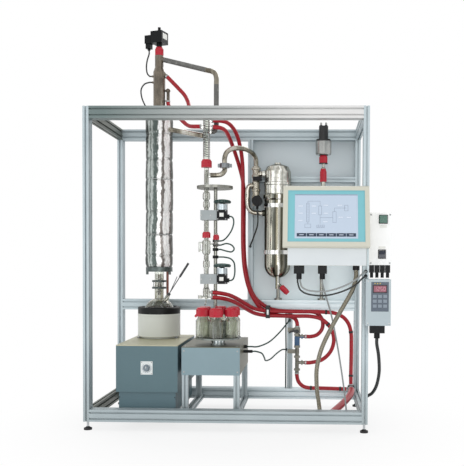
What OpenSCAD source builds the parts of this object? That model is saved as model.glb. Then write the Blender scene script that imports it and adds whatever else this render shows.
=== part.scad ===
// Micro-distillation analyzer: a floor-standing distillation rig in an aluminium profile frame.
// Units are millimetres. Places are given as x from the frame's middle, t back from its front
// face and z up from the floor; at() moves them so that the origin lies under the middle.

/* [Frame] */
// Width of the profile frame
frame_w = 1400; // [1380:5:1500]
// Depth of the profile frame
frame_d = 700; // [695:5:780]
// Height of the profile frame without feet
frame_h = 1550; // [1540:5:1650]
// Narrow side of a frame profile
profile_w = 30; // [28:1:32]
// Wide side of a frame profile
profile_d = 60; // [56:1:64]
// Mouth of a profile slot
slot_w = 8; // [6:0.5:10]
// Lip beside a profile slot
slot_lip = 2.2; // [1.5:0.1:3]
// Depth of a profile slot
slot_depth = 9; // [7:0.5:10]
// Core bore of a profile
core_d = 6.8; // [5:0.1:8]
// Height of the levelling feet
foot_h = 45; // [40:1:60]
// Diameter of a levelling foot
foot_d = 40; // [36:1:50]
// Top of the rear middle beam above the floor
mid_beam_top = 617; // [610:1:640]
// Middle of the upper rear upright
upper_upright_x = 70; // [66:1:74]
// Middle of the lower rear upright
lower_upright_x = 299.5; // [296:0.5:304]
// Underside of the rear wall rail above the floor
wall_rail_z = 1295; // [1290:1:1330]
// Sheet of the rear wall
panel_wall = 3; // [2:0.5:5]

/* [Heater lift] */
// Middle of the heater housing
heater_x = -405; // [-410:1:-395]
// Front of the heater housing before the frame's back
heater_front = 610; // [600:1:615]
// Width of the heater housing
heater_w = 312; // [300:1:316]
// Depth of the heater housing
heater_depth = 530; // [500:1:535]
// Underside of the heater housing when raised
housing_bottom = 178; // [170:1:190]
// Top of the heater housing when raised
housing_top = 415; // [410:1:420]
// Sheet of the heater housing
housing_wall = 3; // [2:0.5:5]
// Step from the housing in to its plinth
plinth_inset = 12; // [8:1:20]
// Top of the plinth inside the housing
plinth_top = 330; // [310:1:340]
// Travel of the lift
lift_travel = 60; // [40:1:65]
// Guide rods of the lift
guide_d = 20; // [16:1:24]
// Distance between the guide rods
guide_gap = 180; // [150:1:200]
// Outside diameter of the heating mantle
mantle_d = 232; // [225:1:240]
// Height of the mantle's can
mantle_h = 126; // [120:1:130]
// Foot ring under the mantle
mantle_foot = 8; // [5:1:12]
// Height of the black collar
collar_h = 37; // [30:1:40]
// Edge of the square dial plate
dial_w = 60; // [50:1:70]
// Height of the dial plate
dial_h = 67; // [60:1:75]
// Diameter of the heat knob
knob_d = 36; // [30:1:44]

/* [Column] */
// Middle of the column
column_x = -423; // [-426:1:-420]
// Middle of the column before the frame's back
column_t = 220; // [216:1:226]
// Radius of the round flask
flask_r = 88; // [84:1:90]
// Height of the flask's middle above the floor
flask_z = 546; // [540:1:550]
// Bottom of the column tube
tube_z = 766; // [760:1:772]
// Top of the column tube and of its jacket
jacket_top = 1655; // [1650:1:1660]
// Outside radius of the column tube
tube_r = 26; // [24:0.5:28]
// Wall of the glass
glass_wall = 3.5; // [3:0.5:5]
// Outside radius of the insulation jacket
jacket_r = 77; // [74:1:80]
// Outside radius of the column head
head_r = 33; // [32:0.5:34]
// Height of the column head
head_h = 314; // [312:1:318]
// Edge of the reflux coil's block
reflux_coil_w = 70; // [66:1:72]
// Height of the reflux coil's block
reflux_coil_h = 64; // [60:1:68]
// Lift of the reflux plunger
plunger_travel = 8; // [5:1:9]
// Diameter of the vapour line
vapour_d = 27; // [24:1:30]

/* [Product line] */
// Middle of the glass product line
line_x = -137; // [-139:1:-135]
// Middle of the product line before the frame's back
line_t = 384; // [382:1:385]
// Middle of the stand rod
rod_x = -92.6; // [-94:0.1:-91]
// Middle of the stand rod before the frame's back
rod_t = 350; // [348:1:351]
// Diameter of the stand rods
rod_d = 19; // [18:0.5:20]
// Diameter of the support plate
plate_d = 192; // [184:1:200]
// Thickness of the support plate
plate_h = 14; // [12:1:16]
// Underside of the support plate above the floor
plate_z = 1226; // [1222:1:1230]
// Outside radius of the condenser
condenser_r = 18.5; // [18:0.5:20]
// Edge of a valve coil
coil_w = 52; // [48:1:54]
// Height of a valve coil
coil_h = 54; // [50:1:56]
// Underside of the upper valve above the floor
valve_z = 1057; // [1054:1:1060]
// Step down to the lower valve
valve_step = 338; // [334:1:342]
// Diameter of a valve handwheel
wheel_d = 92; // [84:1:100]
// Diameter of the vacuum tube
vacuum_d = 26; // [24:1:28]

/* [Receivers] */
// Width of the receiver table
table_w = 294; // [288:1:298]
// Depth of the receiver table
table_depth = 480; // [470:1:500]
// Middle of the receiver table
table_x = -82; // [-86:1:-79]
// Top of the receiver table above the floor
table_top = 409; // [404:1:414]
// Height of the table's apron
apron_h = 143; // [130:1:150]
// Sheet of the table's apron
apron_wall = 2; // [1.5:0.5:3]
// Plate of the table's top
top_plate = 4; // [3:0.5:6]
// Middle of the carousel
carousel_x = -59; // [-61:1:-57]
// Middle of the carousel before the frame's back
carousel_t = 490; // [489:1:493]
// Number of receivers
receivers = 6; // [4:1:6]
// Pitch radius of the receivers
receiver_pitch = 86; // [84:0.5:88]
// Outside radius of a receiver
receiver_r = 35.5; // [33:0.5:37]
// Height of a receiver's glass
receiver_h = 109; // [100:1:112]
// Outside radius of a receiver's cap
cap_r = 34; // [30:0.5:35]
// Height of a receiver's cap
cap_h = 45; // [40:1:46]
// Thickness of the carousel's plate
carousel_h = 8; // [6:1:10]
// Radius of the carousel's drive shaft
shaft_r = 8; // [6:0.5:10]

/* [Cold trap] */
// Middle of the cold trap
trap_x = 230; // [228:1:233]
// Middle of the cold trap before the frame's back
trap_t = 140; // [138:1:142]
// Radius of the cold trap
trap_r = 73.5; // [71:0.5:74]
// Bottom of the cold trap above the floor
trap_z = 746; // [742:1:750]
// Height of the cold trap
trap_h = 647; // [642:1:652]
// Sheet of the cold trap
trap_wall = 2.5; // [2:0.5:4]
// Diameter of the drain knob
drain_d = 32; // [28:1:36]
// Middle of the sensor vessel
sensor_x = 486; // [482:1:490]

/* [Console] */
// Left end of the console
console_x = 285; // [280:1:290]
// Width of the console's front
console_w = 411; // [400:1:414]
// Height of the console's sloping front
console_h = 297; // [290:1:302]
// Lean of the console's front from upright
console_lean = 15.4; // [12:0.1:17]
// Lower edge of the console's front above the floor
console_z = 912; // [908:1:920]
// Reach of the console before the frame
console_reach = 125; // [120:1:130]
// Height of the box below the console's front
console_box_h = 83; // [78:1:86]
// Width of the power box
box_w = 110; // [106:1:120]
// Depth of the power box
box_depth = 120; // [100:1:140]
// Height of the power box
box_h = 254; // [250:1:260]
// Underside of the power box above the floor
box_z = 825; // [822:1:830]
// Edge of the start button
button_w = 36; // [30:1:40]
// Travel of the start button
button_travel = 4; // [2:0.5:5]
// Width of the main switch's rocker
switch_w = 31; // [26:1:34]
// Width of the heater controller
controller_w = 118; // [112:1:122]
// Height of the heater controller
controller_h = 219; // [214:1:222]
// Depth of the heater controller
controller_depth = 100; // [90:1:110]

/* [Water] */
// Middle of the water manifold
water_x = 343; // [340:1:346]
// Middle of the water manifold before the frame's back
water_t = 100; // [98:1:102]
// Diameter of the red hoses
hose_d = 22; // [18:1:22]
// Diameter of the manifold's pipe
pipe_d = 22; // [20:1:24]

/* [Hidden] */
$fn = 48;

// Clearances
slide_gap = 0.3;
run_gap = 0.06;
seat_gap = 0.4;

// Frame places
half_w = frame_w / 2;
post_x = half_w - profile_w / 2;
front_t = profile_d / 2;
rear_t = frame_d - profile_d / 2;
back_t = frame_d - profile_d;
frame_top = foot_h + frame_h;
beam_top = foot_h + profile_d;
rail_top = foot_h + profile_w;
mid_beam_z = mid_beam_top - profile_d;
stand_t = back_t + 22;
left_reach = half_w + max(0, (foot_d - profile_w) / 2);
mid_x = (half_w + box_w - left_reach) / 2;
mid_t = (frame_d - console_reach) / 2;

// Places behind the frame's front, from its back
heater_face = frame_d - heater_front;
col_t = frame_d - column_t;
glass_t = frame_d - line_t;
pole_t = frame_d - rod_t;
ring_t = frame_d - carousel_t;
vessel_t = frame_d - trap_t;
pipe_t = frame_d - water_t;

// Heater places
heater_mid_t = heater_face + heater_depth / 2;
heater_half = heater_w / 2;
mantle_z = housing_top + mantle_foot;
mantle_top = mantle_z + mantle_h;
mantle_wall = 2.5;
bowl_gap = 4;
collar_gap = 8;
dial_z = (housing_bottom + housing_top) / 2 + 4;
dial_plate_t = 2;
knob_shaft_r = 3;
knob_len = 15;
guide_len = 262;
guide_bush_r = guide_d / 2 + 6;
floor_rail_x = [
    heater_x - heater_half + plinth_inset + profile_w,
    heater_x + heater_half - plinth_inset - profile_w,
    table_x - table_w / 2 + apron_wall + profile_w / 2,
    table_x + table_w / 2 - apron_wall - profile_w / 2
];

// Column places
head_z = jacket_top;
head_top = head_z + head_h;
head_neck_r = 24;
head_bore_r = 12;
vapour_stub = 36;
head_floor = 8;
head_shoulder = 1880;
cap_top = head_top + 46;
coil_z = cap_top + 19;
coil_top = coil_z + reflux_coil_h;
coil_turn = -19;
pin_h = 26;
plug_z = coil_z + 6;
cable_ports = [1824, 1857];
base_plate_h = 25;
base_plate_z = tube_z + 14;
vapour_z = 1954;
riser_x = line_x + 47;
vapour_turn = atan2(pole_t - col_t, riser_x - column_x);
vapour_dip = 17;
vapour_run = norm([riser_x - column_x, pole_t - col_t]);
vapour_corner = vapour_run / cos(vapour_dip);
corner_z = vapour_z - vapour_run * tan(vapour_dip);
bend = 30;
hose_a_z = 1897;
hose_a_turn = -8;
hose_a_dip = 44;
arm_z = 1530;
arm_turn = atan2(pole_t - glass_t, riser_x - line_x);
arm_reach = norm([riser_x - line_x, pole_t - glass_t]);
takeoff_z = 1500;
takeoff_rise = 13;
takeoff_turn = atan2(col_t - glass_t, column_x - line_x);
takeoff_reach = (norm([column_x - line_x, col_t - glass_t]) - jacket_r / 2) / cos(takeoff_rise);

// Product line places
line_r = 13;
line_top = 1322;
line_bottom = 640;
line_bore = 6;
condenser_seat = 1377;
block_gap = 15;
stack_x = rod_x + rod_d / 2 + 5.1 + coil_w / 2;
stack_t = glass_t - 6;
block_h = 52;
barrel_h = 30;
kf_x = -43;
kf_t = glass_t + 19;
kf_z = 1336;

// Receiver places
table_front = heater_face;
leg_top = table_top - top_plate;
apron_z = leg_top - apron_h + top_plate;
pedestal_h = 31;
pedestal_r = 33;
carousel_z = table_top + pedestal_h + seat_gap;
carousel_r = receiver_pitch + receiver_r - 4;
receiver_start = 30;
drip = receiver_start + 120;
bottle_z = carousel_z + carousel_h;
cap_z = bottle_z + receiver_h;

// Trap places
trap_port_z = 1330;
trap_low_port_z = 1112;
block_x = 108;
band_z = [880, 1140];
band_h = 22;
drain_z = 700;
drain_turn = 135;
sensor_t = vessel_t;
sensor_clamp_z = 1228;

// Console places
console_back = console_reach - console_h * sin(console_lean);
box_front = 95;
box_margin = 15;
controller_top = 758;
controller_x = half_w - 21;
plug_front = -50;
switch_h = 36;
button_x = half_w + 68;
button_z = box_z + 222;
switch_z = box_z + 53;
pivot_t = 4;
rocker_tilt = 9;

// Water places
valve_blue_z = 362;
valve_blue_h = 54;
valve_blue_w = 30;
branch_high_z = 412;
branch_low_z = 263;
water_top = 466;
water_bottom = 205;
lever_z = 444;

// Ports: a place, the turn of its axis, its dip and its reach from the axis of the vessel
function port(x, t, z, turn, dip, reach) = [x, t, z]
    + reach * [cos(dip) * cos(turn), cos(dip) * sin(turn), -sin(dip)];
function vapour_port(reach) = port(column_x, col_t, vapour_z, vapour_turn, vapour_dip, reach);
function arm_port(reach) = port(line_x, glass_t, arm_z, arm_turn, 0, reach);
function head_port(reach) = port(column_x, col_t, hose_a_z, hose_a_turn, hose_a_dip, reach);

// Hose routes
hose_a = [head_port(58), head_port(80), [-318, 466, 1792], [-278, 446, 1748], [-254, 414, 1706],
    [-240, 378, 1671], [-226, 346, 1646], [-206, 324, 1630], [-184, 316, 1625], [-164, 316, 1625]];
hose_b = [[-374, 480, 1722], [-374, 480, 1710], [-370, 477, 1696], [-359, 469, 1681], [-342, 457, 1665],
    [-324, 443, 1645], [-300, 425, 1618], [-276, 404, 1594], [-252, 378, 1573], [-230, 350, 1560],
    [-208, 327, 1554], [-184, 316, 1552], [-164, 316, 1552]];
hose_c = [[-110, 316, 1583], [-86, 316, 1583], [-58, 328, 1583], [-33, 354, 1580], [-14, 394, 1569],
    [4, 446, 1543], [18, 504, 1496], [28, 552, 1425], [32, 576, 1330], [32, 578, 1160], [32, 578, 1010],
    [34, 579, 900], [42, 581, 800], [62, 584, 705], [92, 590, 632], [132, 601, 574], [184, 610, 541],
    [240, 612, 531], [292, 612, 528], [318, 610, 520], [336, 605, 505], [343, 600, 484], [343, 600, 466]];
hose_d_route = [[-110, 316, 1548], [-86, 316, 1548], [-62, 328, 1546], [-45, 358, 1540], [-35, 402, 1526],
    [-22, 470, 1491], [-4, 546, 1430], [14, 588, 1364], [30, 604, 1290], [36, 605, 1200], [36, 605, 1010],
    [38, 605, 900], [46, 607, 800], [66, 609, 705], [98, 614, 636], [140, 617, 595], [186, 614, 569],
    [236, 613, 558], [300, 613, 555], [360, 613, 554], [420, 613, 553], [455, 614, 544], [481, 614, 518],
    [490, 614, 482], [481, 611, 447], [455, 606, 421], [420, 600, 412], [386, 600, 412]];
hose_e = [[-110, 316, 672], [-86, 316, 672], [-52, 327, 667], [-16, 358, 656], [22, 412, 633],
    [60, 478, 603], [102, 542, 574], [160, 580, 559], [236, 588, 556], [330, 588, 555], [420, 588, 555],
    [500, 589, 553], [560, 592, 546], [606, 595, 523], [636, 598, 485], [650, 600, 434], [652, 600, 370],
    [652, 599, 300], [651, 593, 238], [650, 583, 192], [650, 580, 164], [650, 580, 138]];
hose_f = [[-110, 316, 646], [-86, 316, 646], [-52, 327, 641], [-16, 358, 630], [22, 412, 607],
    [60, 478, 577], [102, 542, 548], [160, 580, 533], [236, 588, 530], [330, 588, 529], [420, 588, 528],
    [486, 587, 510], [534, 587, 461], [552, 588, 395], [534, 591, 329], [486, 596, 281], [420, 600, 263],
    [386, 600, 263]];
hose_g = [[343, 600, 205], [343, 600, 188], [352, 600, 154], [377, 600, 128], [413, 600, 118],
    [470, 599, 117], [530, 592, 117], [580, 583, 117], [608, 580, 117], [632, 580, 117]];
drain_hose_route = [[650, 562, 118], [650, 530, 117], [640, 450, 110], [614, 350, 100], [582, 250, 92],
    [553, 170, 85], [535, 120, 81], [530, 100, 80], [530, 82, 80]];
drain_hose_d = 36;

// Cable routes
coil_plug = [column_x, col_t, 0] + (reflux_coil_w / 2 + 30) * [-cos(coil_turn), -sin(coil_turn), 0];
head_cable = [coil_plug + [0, 0, 2005], coil_plug + [0, 0, 1985], [-494, 498, 1950], [-497, 491, 1912],
    [-491, 483, 1876], [-478, 480, 1859], [-470, 480, 1857], [-463, 480, 1857]];
loop_cable = [[-463, 480, 1824], [-478, 480, 1824], [-506, 480, 1814], [-524, 480, 1784],
    [-520, 480, 1740], [-502, 480, 1698], [-487, 480, 1676], [-484, 480, 1656]];
conduit = [[635, -50, 800], [635, -50, 770], [620, -50, 708], [580, -34, 632], [522, 2, 522],
    [474, 50, 410], [452, 98, 308], [451, 130, 228], [455, 146, 172], [461, 148, 136], [465, 141, 107],
    [468, 123, 87], [470, 102, 80], [470, 82, 80]];
console_cable = [[474, -50, 756], [474, -50, 738], [490, -24, 680], [520, 30, 580], [552, 90, 430],
    [576, 124, 290], [592, 134, 180], [600, 118, 104], [600, 94, 80], [600, 74, 80]];
pair_cable = [[368, -50, 756], [368, -50, 742], [380, -64, 716], [416, -82, 702], [490, -90, 700],
    [568, -90, 722], [630, -86, 754], [660, -66, 780], [676, -48, 791], [685, -30, 794], [685, -13, 794]];
lower_pair_cable = [[356, -50, 756], [356, -50, 740], [370, -62, 704], [412, -78, 684], [490, -86, 680],
    [570, -86, 700], [632, -82, 732], [660, -64, 758], [676, -46, 769], [685, -30, 772], [685, -13, 772]];
controller_cable = [[736, -60, 476], [736, -60, 448], [746, -50, 390], [752, -22, 310], [744, 18, 238],
    [727, 58, 192], [706, 90, 170], [691, 107, 152], [685, 112, 134], [685, 112, 118]];
motor_cable = [[80, 330, 384], [100, 330, 384], [140, 356, 382], [196, 440, 400], [250, 536, 446],
    [286, 594, 488], [299, 614, 500], [299, 631, 500]];
plug_cable = [[112, 300, 362], [130, 300, 362], [160, 316, 350], [172, 350, 322], [176, 400, 300],
    [198, 480, 298], [226, 570, 316], [250, 636, 328], [262, 655, 330], [276, 655, 330]];
riser_cable = [[276, 685, 105], [276, 685, 240], [277, 685, 330], [276, 685, 420], [276, 685, 557]];
upper_coil_cable = [[-14, 310, 1076], [-4, 310, 1076], [6, 312, 1066], [8, 316, 1040], [-4, 324, 1004],
    [-28, 335, 970], [-50, 346, 952], [-66, 350, 948], [-77.1, 350, 948]];
slack_cable = [[-77.1, 350, 926], [-64, 350, 926], [-34, 348, 934], [-6, 345, 926], [8, 345, 906],
    [-6, 345, 890], [-34, 348, 894], [-64, 350, 902], [-77.1, 350, 902]];
lower_coil_cable = [[-14, 310, 738], [-4, 310, 738], [7, 310, 746], [14, 312, 768], [15, 316, 800],
    [10, 322, 832], [-10, 332, 853], [-42, 345, 861], [-63, 350, 862], [-77.1, 350, 862]];
trap_cable = [[118, 516, 1130], [118, 516, 1114], [122, 521, 1080], [117, 535, 1034], [98, 560, 984],
    [80, 592, 944], [71, 608, 928], [70, 618, 925], [70, 629, 925]];
cable_d = 8;
conduit_d = 22;
power_cable_d = 16;

echo(reach = [left_reach, half_w + box_w, coil_top + pin_h]);

// Shared shapes

module at(x, t, z) {
    translate([x - mid_x, t - mid_t, z]) children();
}

module block(x0, x1, t0, t1, z0, z1) {
    at(x0, t0, z0) cube([x1 - x0, t1 - t0, z1 - z0]);
}

module rod(x, t, z0, z1, r) {
    at(x, t, z0) cylinder(r = r, h = z1 - z0);
}

// A cylinder along +x, and one back along t
module rod_along_x(x0, x1, t, z, r) {
    at(x0, t, z) rotate([0, 90, 0]) cylinder(r = r, h = x1 - x0);
}

module rod_along_t(x, t0, t1, z, r) {
    at(x, t0, z) rotate([-90, 0, 0]) cylinder(r = r, h = t1 - t0);
}

module tube(x, t, z0, z1, r, bore) {
    difference() {
        rod(x, t, z0, z1, r);
        rod(x, t, z0 - 1, z1 + 1, bore);
    }
}

module hex(x, t, z0, z1, across) {
    at(x, t, z0) cylinder(d = across / cos(30), h = z1 - z0, $fn = 6);
}

// A slot cut into the edge of a profile, opening towards +y
module slot_2d() {
    translate([-slot_w / 2, -slot_lip - 0.01]) square([slot_w, slot_lip + 1]);
    polygon([[-slot_w, -slot_lip], [slot_w, -slot_lip], [slot_w, -slot_lip - 1.6],
        [slot_w / 2, -slot_depth], [-slot_w / 2, -slot_depth], [-slot_w, -slot_lip - 1.6]]);
}

// Cross-section of an extruded frame profile
module section(w, d) {
    nx = max(1, round(w / profile_w));
    ny = max(1, round(d / profile_w));
    px = w / nx;
    py = d / ny;
    difference() {
        square([w, d], center = true);
        for (i = [0 : nx - 1], side = [0, 180])
            rotate(side) translate([(i + 0.5) * px - w / 2, d / 2]) slot_2d();
        for (j = [0 : ny - 1], side = [0, 180])
            rotate(side) translate([w / 2, (j + 0.5) * py - d / 2]) rotate(-90) slot_2d();
        for (i = [0 : nx - 1], j = [0 : ny - 1])
            translate([(i + 0.5) * px - w / 2, (j + 0.5) * py - d / 2]) circle(d = core_d, $fn = 24);
    }
}

// Profiles upright, along x and along t, each by its lowest corner
module upright(x0, t0, z0, z1, w = profile_w, d = profile_d) {
    at(x0 + w / 2, t0 + d / 2, z0) linear_extrude(z1 - z0) section(w, d);
}

module beam(x0, x1, t0, z0, depth = profile_d, height = profile_d) {
    at(x0, t0 + depth / 2, z0 + height / 2) rotate([90, 0, 90])
        linear_extrude(x1 - x0) section(depth, height);
}

module rail(x0, t0, t1, z0, width = profile_w, height = profile_d) {
    at(x0 + width / 2, t0, z0 + height / 2) rotate([-90, 0, 0])
        linear_extrude(t1 - t0) section(width, height);
}

// A ribbed screw cap with a hole for its tube
module ribbed_cap(r, h, bore, ribs = 30) {
    difference() {
        union() {
            linear_extrude(h * 0.8) polygon([for (i = [0 : 2 * ribs - 1])
                (i % 2 == 0 ? r : r - r * 0.05) * [cos(i * 180 / ribs), sin(i * 180 / ribs)]]);
            translate([0, 0, h * 0.8 - 1]) cylinder(r1 = r * 0.91, r2 = r * 0.8, h = h * 0.2 + 1);
        }
        translate([0, 0, -1]) cylinder(r = bore, h = h + 2);
    }
}

// Tube swept along a route, with a smooth curve through its points
function unit(v) = v / norm(v);
function knot(p, i) = let (end = len(p) - 1)
    i < 0 ? 2 * p[0] - p[1] : i > end ? 2 * p[end] - p[end - 1] : p[i];
function curve_at(p, i, u) = let (a = knot(p, i - 1), b = knot(p, i), c = knot(p, i + 1), d = knot(p, i + 2))
    0.5 * (2 * b + (c - a) * u + (2 * a - 5 * b + 4 * c - d) * u * u + (3 * b - a - 3 * c + d) * u * u * u);
function curve(p, steps) = [
    for (i = [0 : len(p) - 2], s = [0 : steps - 1]) curve_at(p, i, s / steps),
    p[len(p) - 1]
];
function tangent(c, i) = unit(knot(c, i + 1) - knot(c, i - 1));
function square_to(v, t) = unit(v - (v * t) * t);
function first_side(t) = square_to(abs(t[2]) < 0.8 ? [0, 0, 1] : [1, 0, 0], t);
function sides(d, i, found) = i >= len(d) ? found
    : sides(d, i + 1, concat(found, [square_to(found[i - 1], d[i])]));

module hose(route, d, steps = 2, edges = 8) {
    p = [for (q = route) [q[0] - mid_x, q[1] - mid_t, q[2]]];
    c = curve(p, steps);
    end = len(c) - 1;
    // The first and last rings lie square to the ports that they meet
    dirs = [for (i = [0 : end]) i == 0 ? unit(p[1] - p[0])
        : i == end ? unit(p[len(p) - 1] - p[len(p) - 2]) : tangent(c, i)];
    s = sides(dirs, 1, [first_side(dirs[0])]);
    rings = [for (i = [0 : end], k = [0 : edges - 1]) let (n = cross(dirs[i], s[i]), a = k * 360 / edges)
        c[i] + d / 2 * (cos(a) * s[i] + sin(a) * n)];
    last = end * edges;
    polyhedron(rings, concat(
        [for (k = [1 : edges - 2]) [0, k, k + 1]],
        [for (k = [1 : edges - 2]) [last, last + k + 1, last + k]],
        [for (i = [0 : end - 1], k = [0 : edges - 1])
            let (a = i * edges + k, b = i * edges + (k + 1) % edges) [a, a + edges, b]],
        [for (i = [0 : end - 1], k = [0 : edges - 1])
            let (a = i * edges + k, b = i * edges + (k + 1) % edges) [b, a + edges, b + edges]]));
}

// Frame

module post(x, t) {
    color("silver") upright(x - profile_w / 2, t - profile_d / 2, foot_h, frame_top);
}

module front_left_post() { post(-post_x, front_t); }
module front_right_post() { post(post_x, front_t); }
module rear_left_post() { post(-post_x, rear_t); }
module rear_right_post() { post(post_x, rear_t); }

module cross_beam(t0, z0) {
    color("silver") beam(-half_w + profile_w, half_w - profile_w, t0, z0);
}

module front_top_beam() { cross_beam(0, frame_top - profile_d); }
module front_bottom_beam() { cross_beam(0, foot_h); }
module rear_top_beam() { cross_beam(back_t, frame_top - profile_d); }

// The middle beam, and the rail that the wall's two panels meet at
module rear_middle_rails() {
    cross_beam(back_t, mid_beam_z);
    color("silver")
        beam(upper_upright_x + profile_w / 2, half_w - profile_w, back_t, wall_rail_z, profile_d, profile_w);
}

module rear_bottom_beam() { cross_beam(back_t, foot_h); }

module top_side_beams() {
    color("silver") for (x = [-half_w, half_w - profile_w])
        rail(x, profile_d, back_t, frame_top - profile_d);
}

module bottom_depth_rails() {
    color("silver") {
        for (x = [-half_w, half_w - profile_w])
            rail(x, profile_d, back_t, foot_h);
        for (x = floor_rail_x)
            rail(x - profile_w / 2, profile_d, back_t, foot_h, profile_w, profile_w);
    }
}

module rear_uprights() {
    color("silver") {
        upright(upper_upright_x - profile_w / 2, back_t, mid_beam_top, frame_top - profile_d);
        upright(lower_upright_x - profile_w / 2, back_t, beam_top, mid_beam_z);
    }
}

module levelling_feet() {
    pad_h = 9;
    color("dimgray") for (x = [-post_x, post_x], t = [front_t, rear_t]) {
        rod(x, t, 0, pad_h, foot_d / 2);
        at(x, t, pad_h) cylinder(r1 = foot_d / 2 - 4, r2 = 7, h = 8);
        rod(x, t, pad_h + 8, foot_h, 6);
        hex(x, t, foot_h - 7, foot_h, 17);
    }
}

module rear_panels() {
    x0 = upper_upright_x + profile_w / 2;
    color("lightsteelblue") {
        block(x0, half_w - profile_w, frame_d - panel_wall, frame_d, mid_beam_top, wall_rail_z);
        block(x0, half_w - profile_w, frame_d - panel_wall, frame_d,
            wall_rail_z + profile_w, frame_top - profile_d);
    }
}

// Heater and its lift

module at_guides() {
    for (side = [-1, 1])
        translate([side * guide_gap / 2, 0, 0]) children();
}

module lift_plinth() {
    x0 = heater_x - heater_half + plinth_inset;
    x1 = heater_x + heater_half - plinth_inset;
    t0 = heater_face + plinth_inset;
    t1 = heater_face + heater_depth - plinth_inset;
    color("slategray") difference() {
        union() {
            difference() {
                block(x0, x1, t0, t1, rail_top, plinth_top);
                block(x0 + housing_wall, x1 - housing_wall, t0 + housing_wall, t1 - housing_wall,
                    rail_top - 1, plinth_top - 10);
            }
            at_guides() rod(heater_x, heater_mid_t, plinth_top - 110, plinth_top, guide_bush_r);
        }
        at_guides() rod(heater_x, heater_mid_t, rail_top - 1, plinth_top + 1, guide_d / 2 + run_gap);
    }
}

module lift_housing() {
    x0 = heater_x - heater_half;
    x1 = heater_x + heater_half;
    t1 = heater_face + heater_depth;
    color("cadetblue") difference() {
        block(x0, x1, heater_face, t1, housing_bottom, housing_top);
        block(x0 + housing_wall, x1 - housing_wall, heater_face + housing_wall, t1 - housing_wall,
            housing_bottom - 1, housing_top - housing_wall);
        rod_along_t(heater_x, heater_face - 1, heater_face + housing_wall + 1, dial_z,
            knob_shaft_r + run_gap);
    }
}

module lift_guide_rods() {
    z1 = housing_top - housing_wall;
    color("gainsboro") at_guides() {
        rod(heater_x, heater_mid_t, z1 - guide_len, z1, guide_d / 2);
        rod(heater_x, heater_mid_t, z1 - 8, z1, guide_d / 2 + 8);
    }
}

module mantle_shell() {
    r = mantle_d / 2;
    color("lightgray") at(column_x, col_t, 0) rotate_extrude($fn = 72) polygon([
        [0, housing_top], [r - 20, housing_top], [r - 20, mantle_z], [r - 3, mantle_z], [r, mantle_z + 3],
        [r, mantle_top], [r - mantle_wall, mantle_top], [r - mantle_wall, mantle_z + mantle_wall],
        [0, mantle_z + mantle_wall]]);
}

module mantle_liner() {
    r = mantle_d / 2 - mantle_wall - slide_gap;
    color("whitesmoke") difference() {
        rod(column_x, col_t, mantle_z + mantle_wall, mantle_top, r);
        at(column_x, col_t, flask_z) sphere(r = flask_r + bowl_gap);
        rod(column_x, col_t, flask_z, mantle_top + 1, flask_r + bowl_gap);
    }
}

module mantle_collar() {
    r = mantle_d / 2;
    inner = flask_r + collar_gap;
    color("black") at(column_x, col_t, mantle_top) rotate_extrude($fn = 72) polygon([
        [inner, 0], [r, 0], [r, collar_h - 6], [r - 6, collar_h],
        [inner + 4, collar_h], [inner, collar_h - 4]]);
}

module heat_dial_plate() {
    color("white") difference() {
        block(heater_x - dial_w / 2, heater_x + dial_w / 2, heater_face - dial_plate_t, heater_face,
            dial_z - dial_h / 2, dial_z + dial_h / 2);
        rod_along_t(heater_x, heater_face - dial_plate_t - 1, heater_face + 1, dial_z,
            knob_shaft_r + run_gap);
    }
}

module heat_knob() {
    t1 = heater_face - dial_plate_t - seat_gap;
    color("lightslategray") {
        at(heater_x, t1, dial_z) rotate([90, 0, 0]) rotate_extrude() polygon([
            [0, 0], [knob_d / 2, 0], [knob_d / 2, 3], [knob_d / 2 - 5, 5], [knob_d / 2 - 6, knob_len - 1],
            [knob_d / 2 - 7, knob_len], [0, knob_len]]);
        block(heater_x - 1.5, heater_x + 1.5, t1 - knob_len - 1.5, t1 - knob_len + 2,
            dial_z, dial_z + knob_d / 2 - 7.5);
        rod_along_t(heater_x, t1 - 1, heater_face + housing_wall + plinth_inset / 4, dial_z, knob_shaft_r);
    }
}

// Flask and column

side_neck_turn = 32.3;
side_neck = [column_x + 51, col_t - 40, flask_z + 94];
rear_neck = [column_x + 38, col_t + 40];
side_neck_end = 12;

module along_side_neck() {
    at(side_neck[0], side_neck[1], side_neck[2]) rotate([0, side_neck_turn, 0]) children();
}

module distillation_flask() {
    neck_r = 25;
    color("lightcyan", 0.4) difference() {
        union() {
            at(column_x, col_t, flask_z) sphere(r = flask_r, $fn = 72);
            rod(column_x, col_t, flask_z + 70, tube_z, neck_r);
            for (z = [tube_z - 80, tube_z - 43])
                rod(column_x, col_t, z, z + 8, neck_r + 12);
            along_side_neck() translate([0, 0, -40]) cylinder(r = 11, h = 40 + side_neck_end);
            rod(rear_neck[0], rear_neck[1], flask_z + 50, flask_z + 94, 10);
        }
        at(column_x, col_t, flask_z) sphere(r = flask_r - glass_wall, $fn = 72);
        rod(column_x, col_t, flask_z + 60, tube_z + 1, neck_r - glass_wall);
    }
}

module flask_probes() {
    color("dimgray") {
        along_side_neck() translate([0, 0, side_neck_end]) {
            cylinder(r = 9, h = 14);
            cylinder(r = 2.5, h = 130);
            translate([0, 0, 120]) cylinder(r = 6, h = 90);
        }
        along_side_neck() translate([0, 6, side_neck_end + 14]) rotate([0, -8, 0]) cylinder(r = 2, h = 100);
    }
    color("indianred") rod(rear_neck[0], rear_neck[1], flask_z + 94, base_plate_z, 7);
}

module column_tube() {
    color("lightcyan", 0.4) tube(column_x, col_t, tube_z, jacket_top, tube_r, tube_r - glass_wall);
}

module column_packing() {
    r = tube_r - glass_wall - slide_gap;
    color("gainsboro") {
        rod(column_x, col_t, tube_z + 40, jacket_top - 40, r - 3);
        for (i = [0 : 8])
            rod(column_x, col_t, tube_z + 40 + i * 96, tube_z + 46 + i * 96, r);
    }
}

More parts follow.
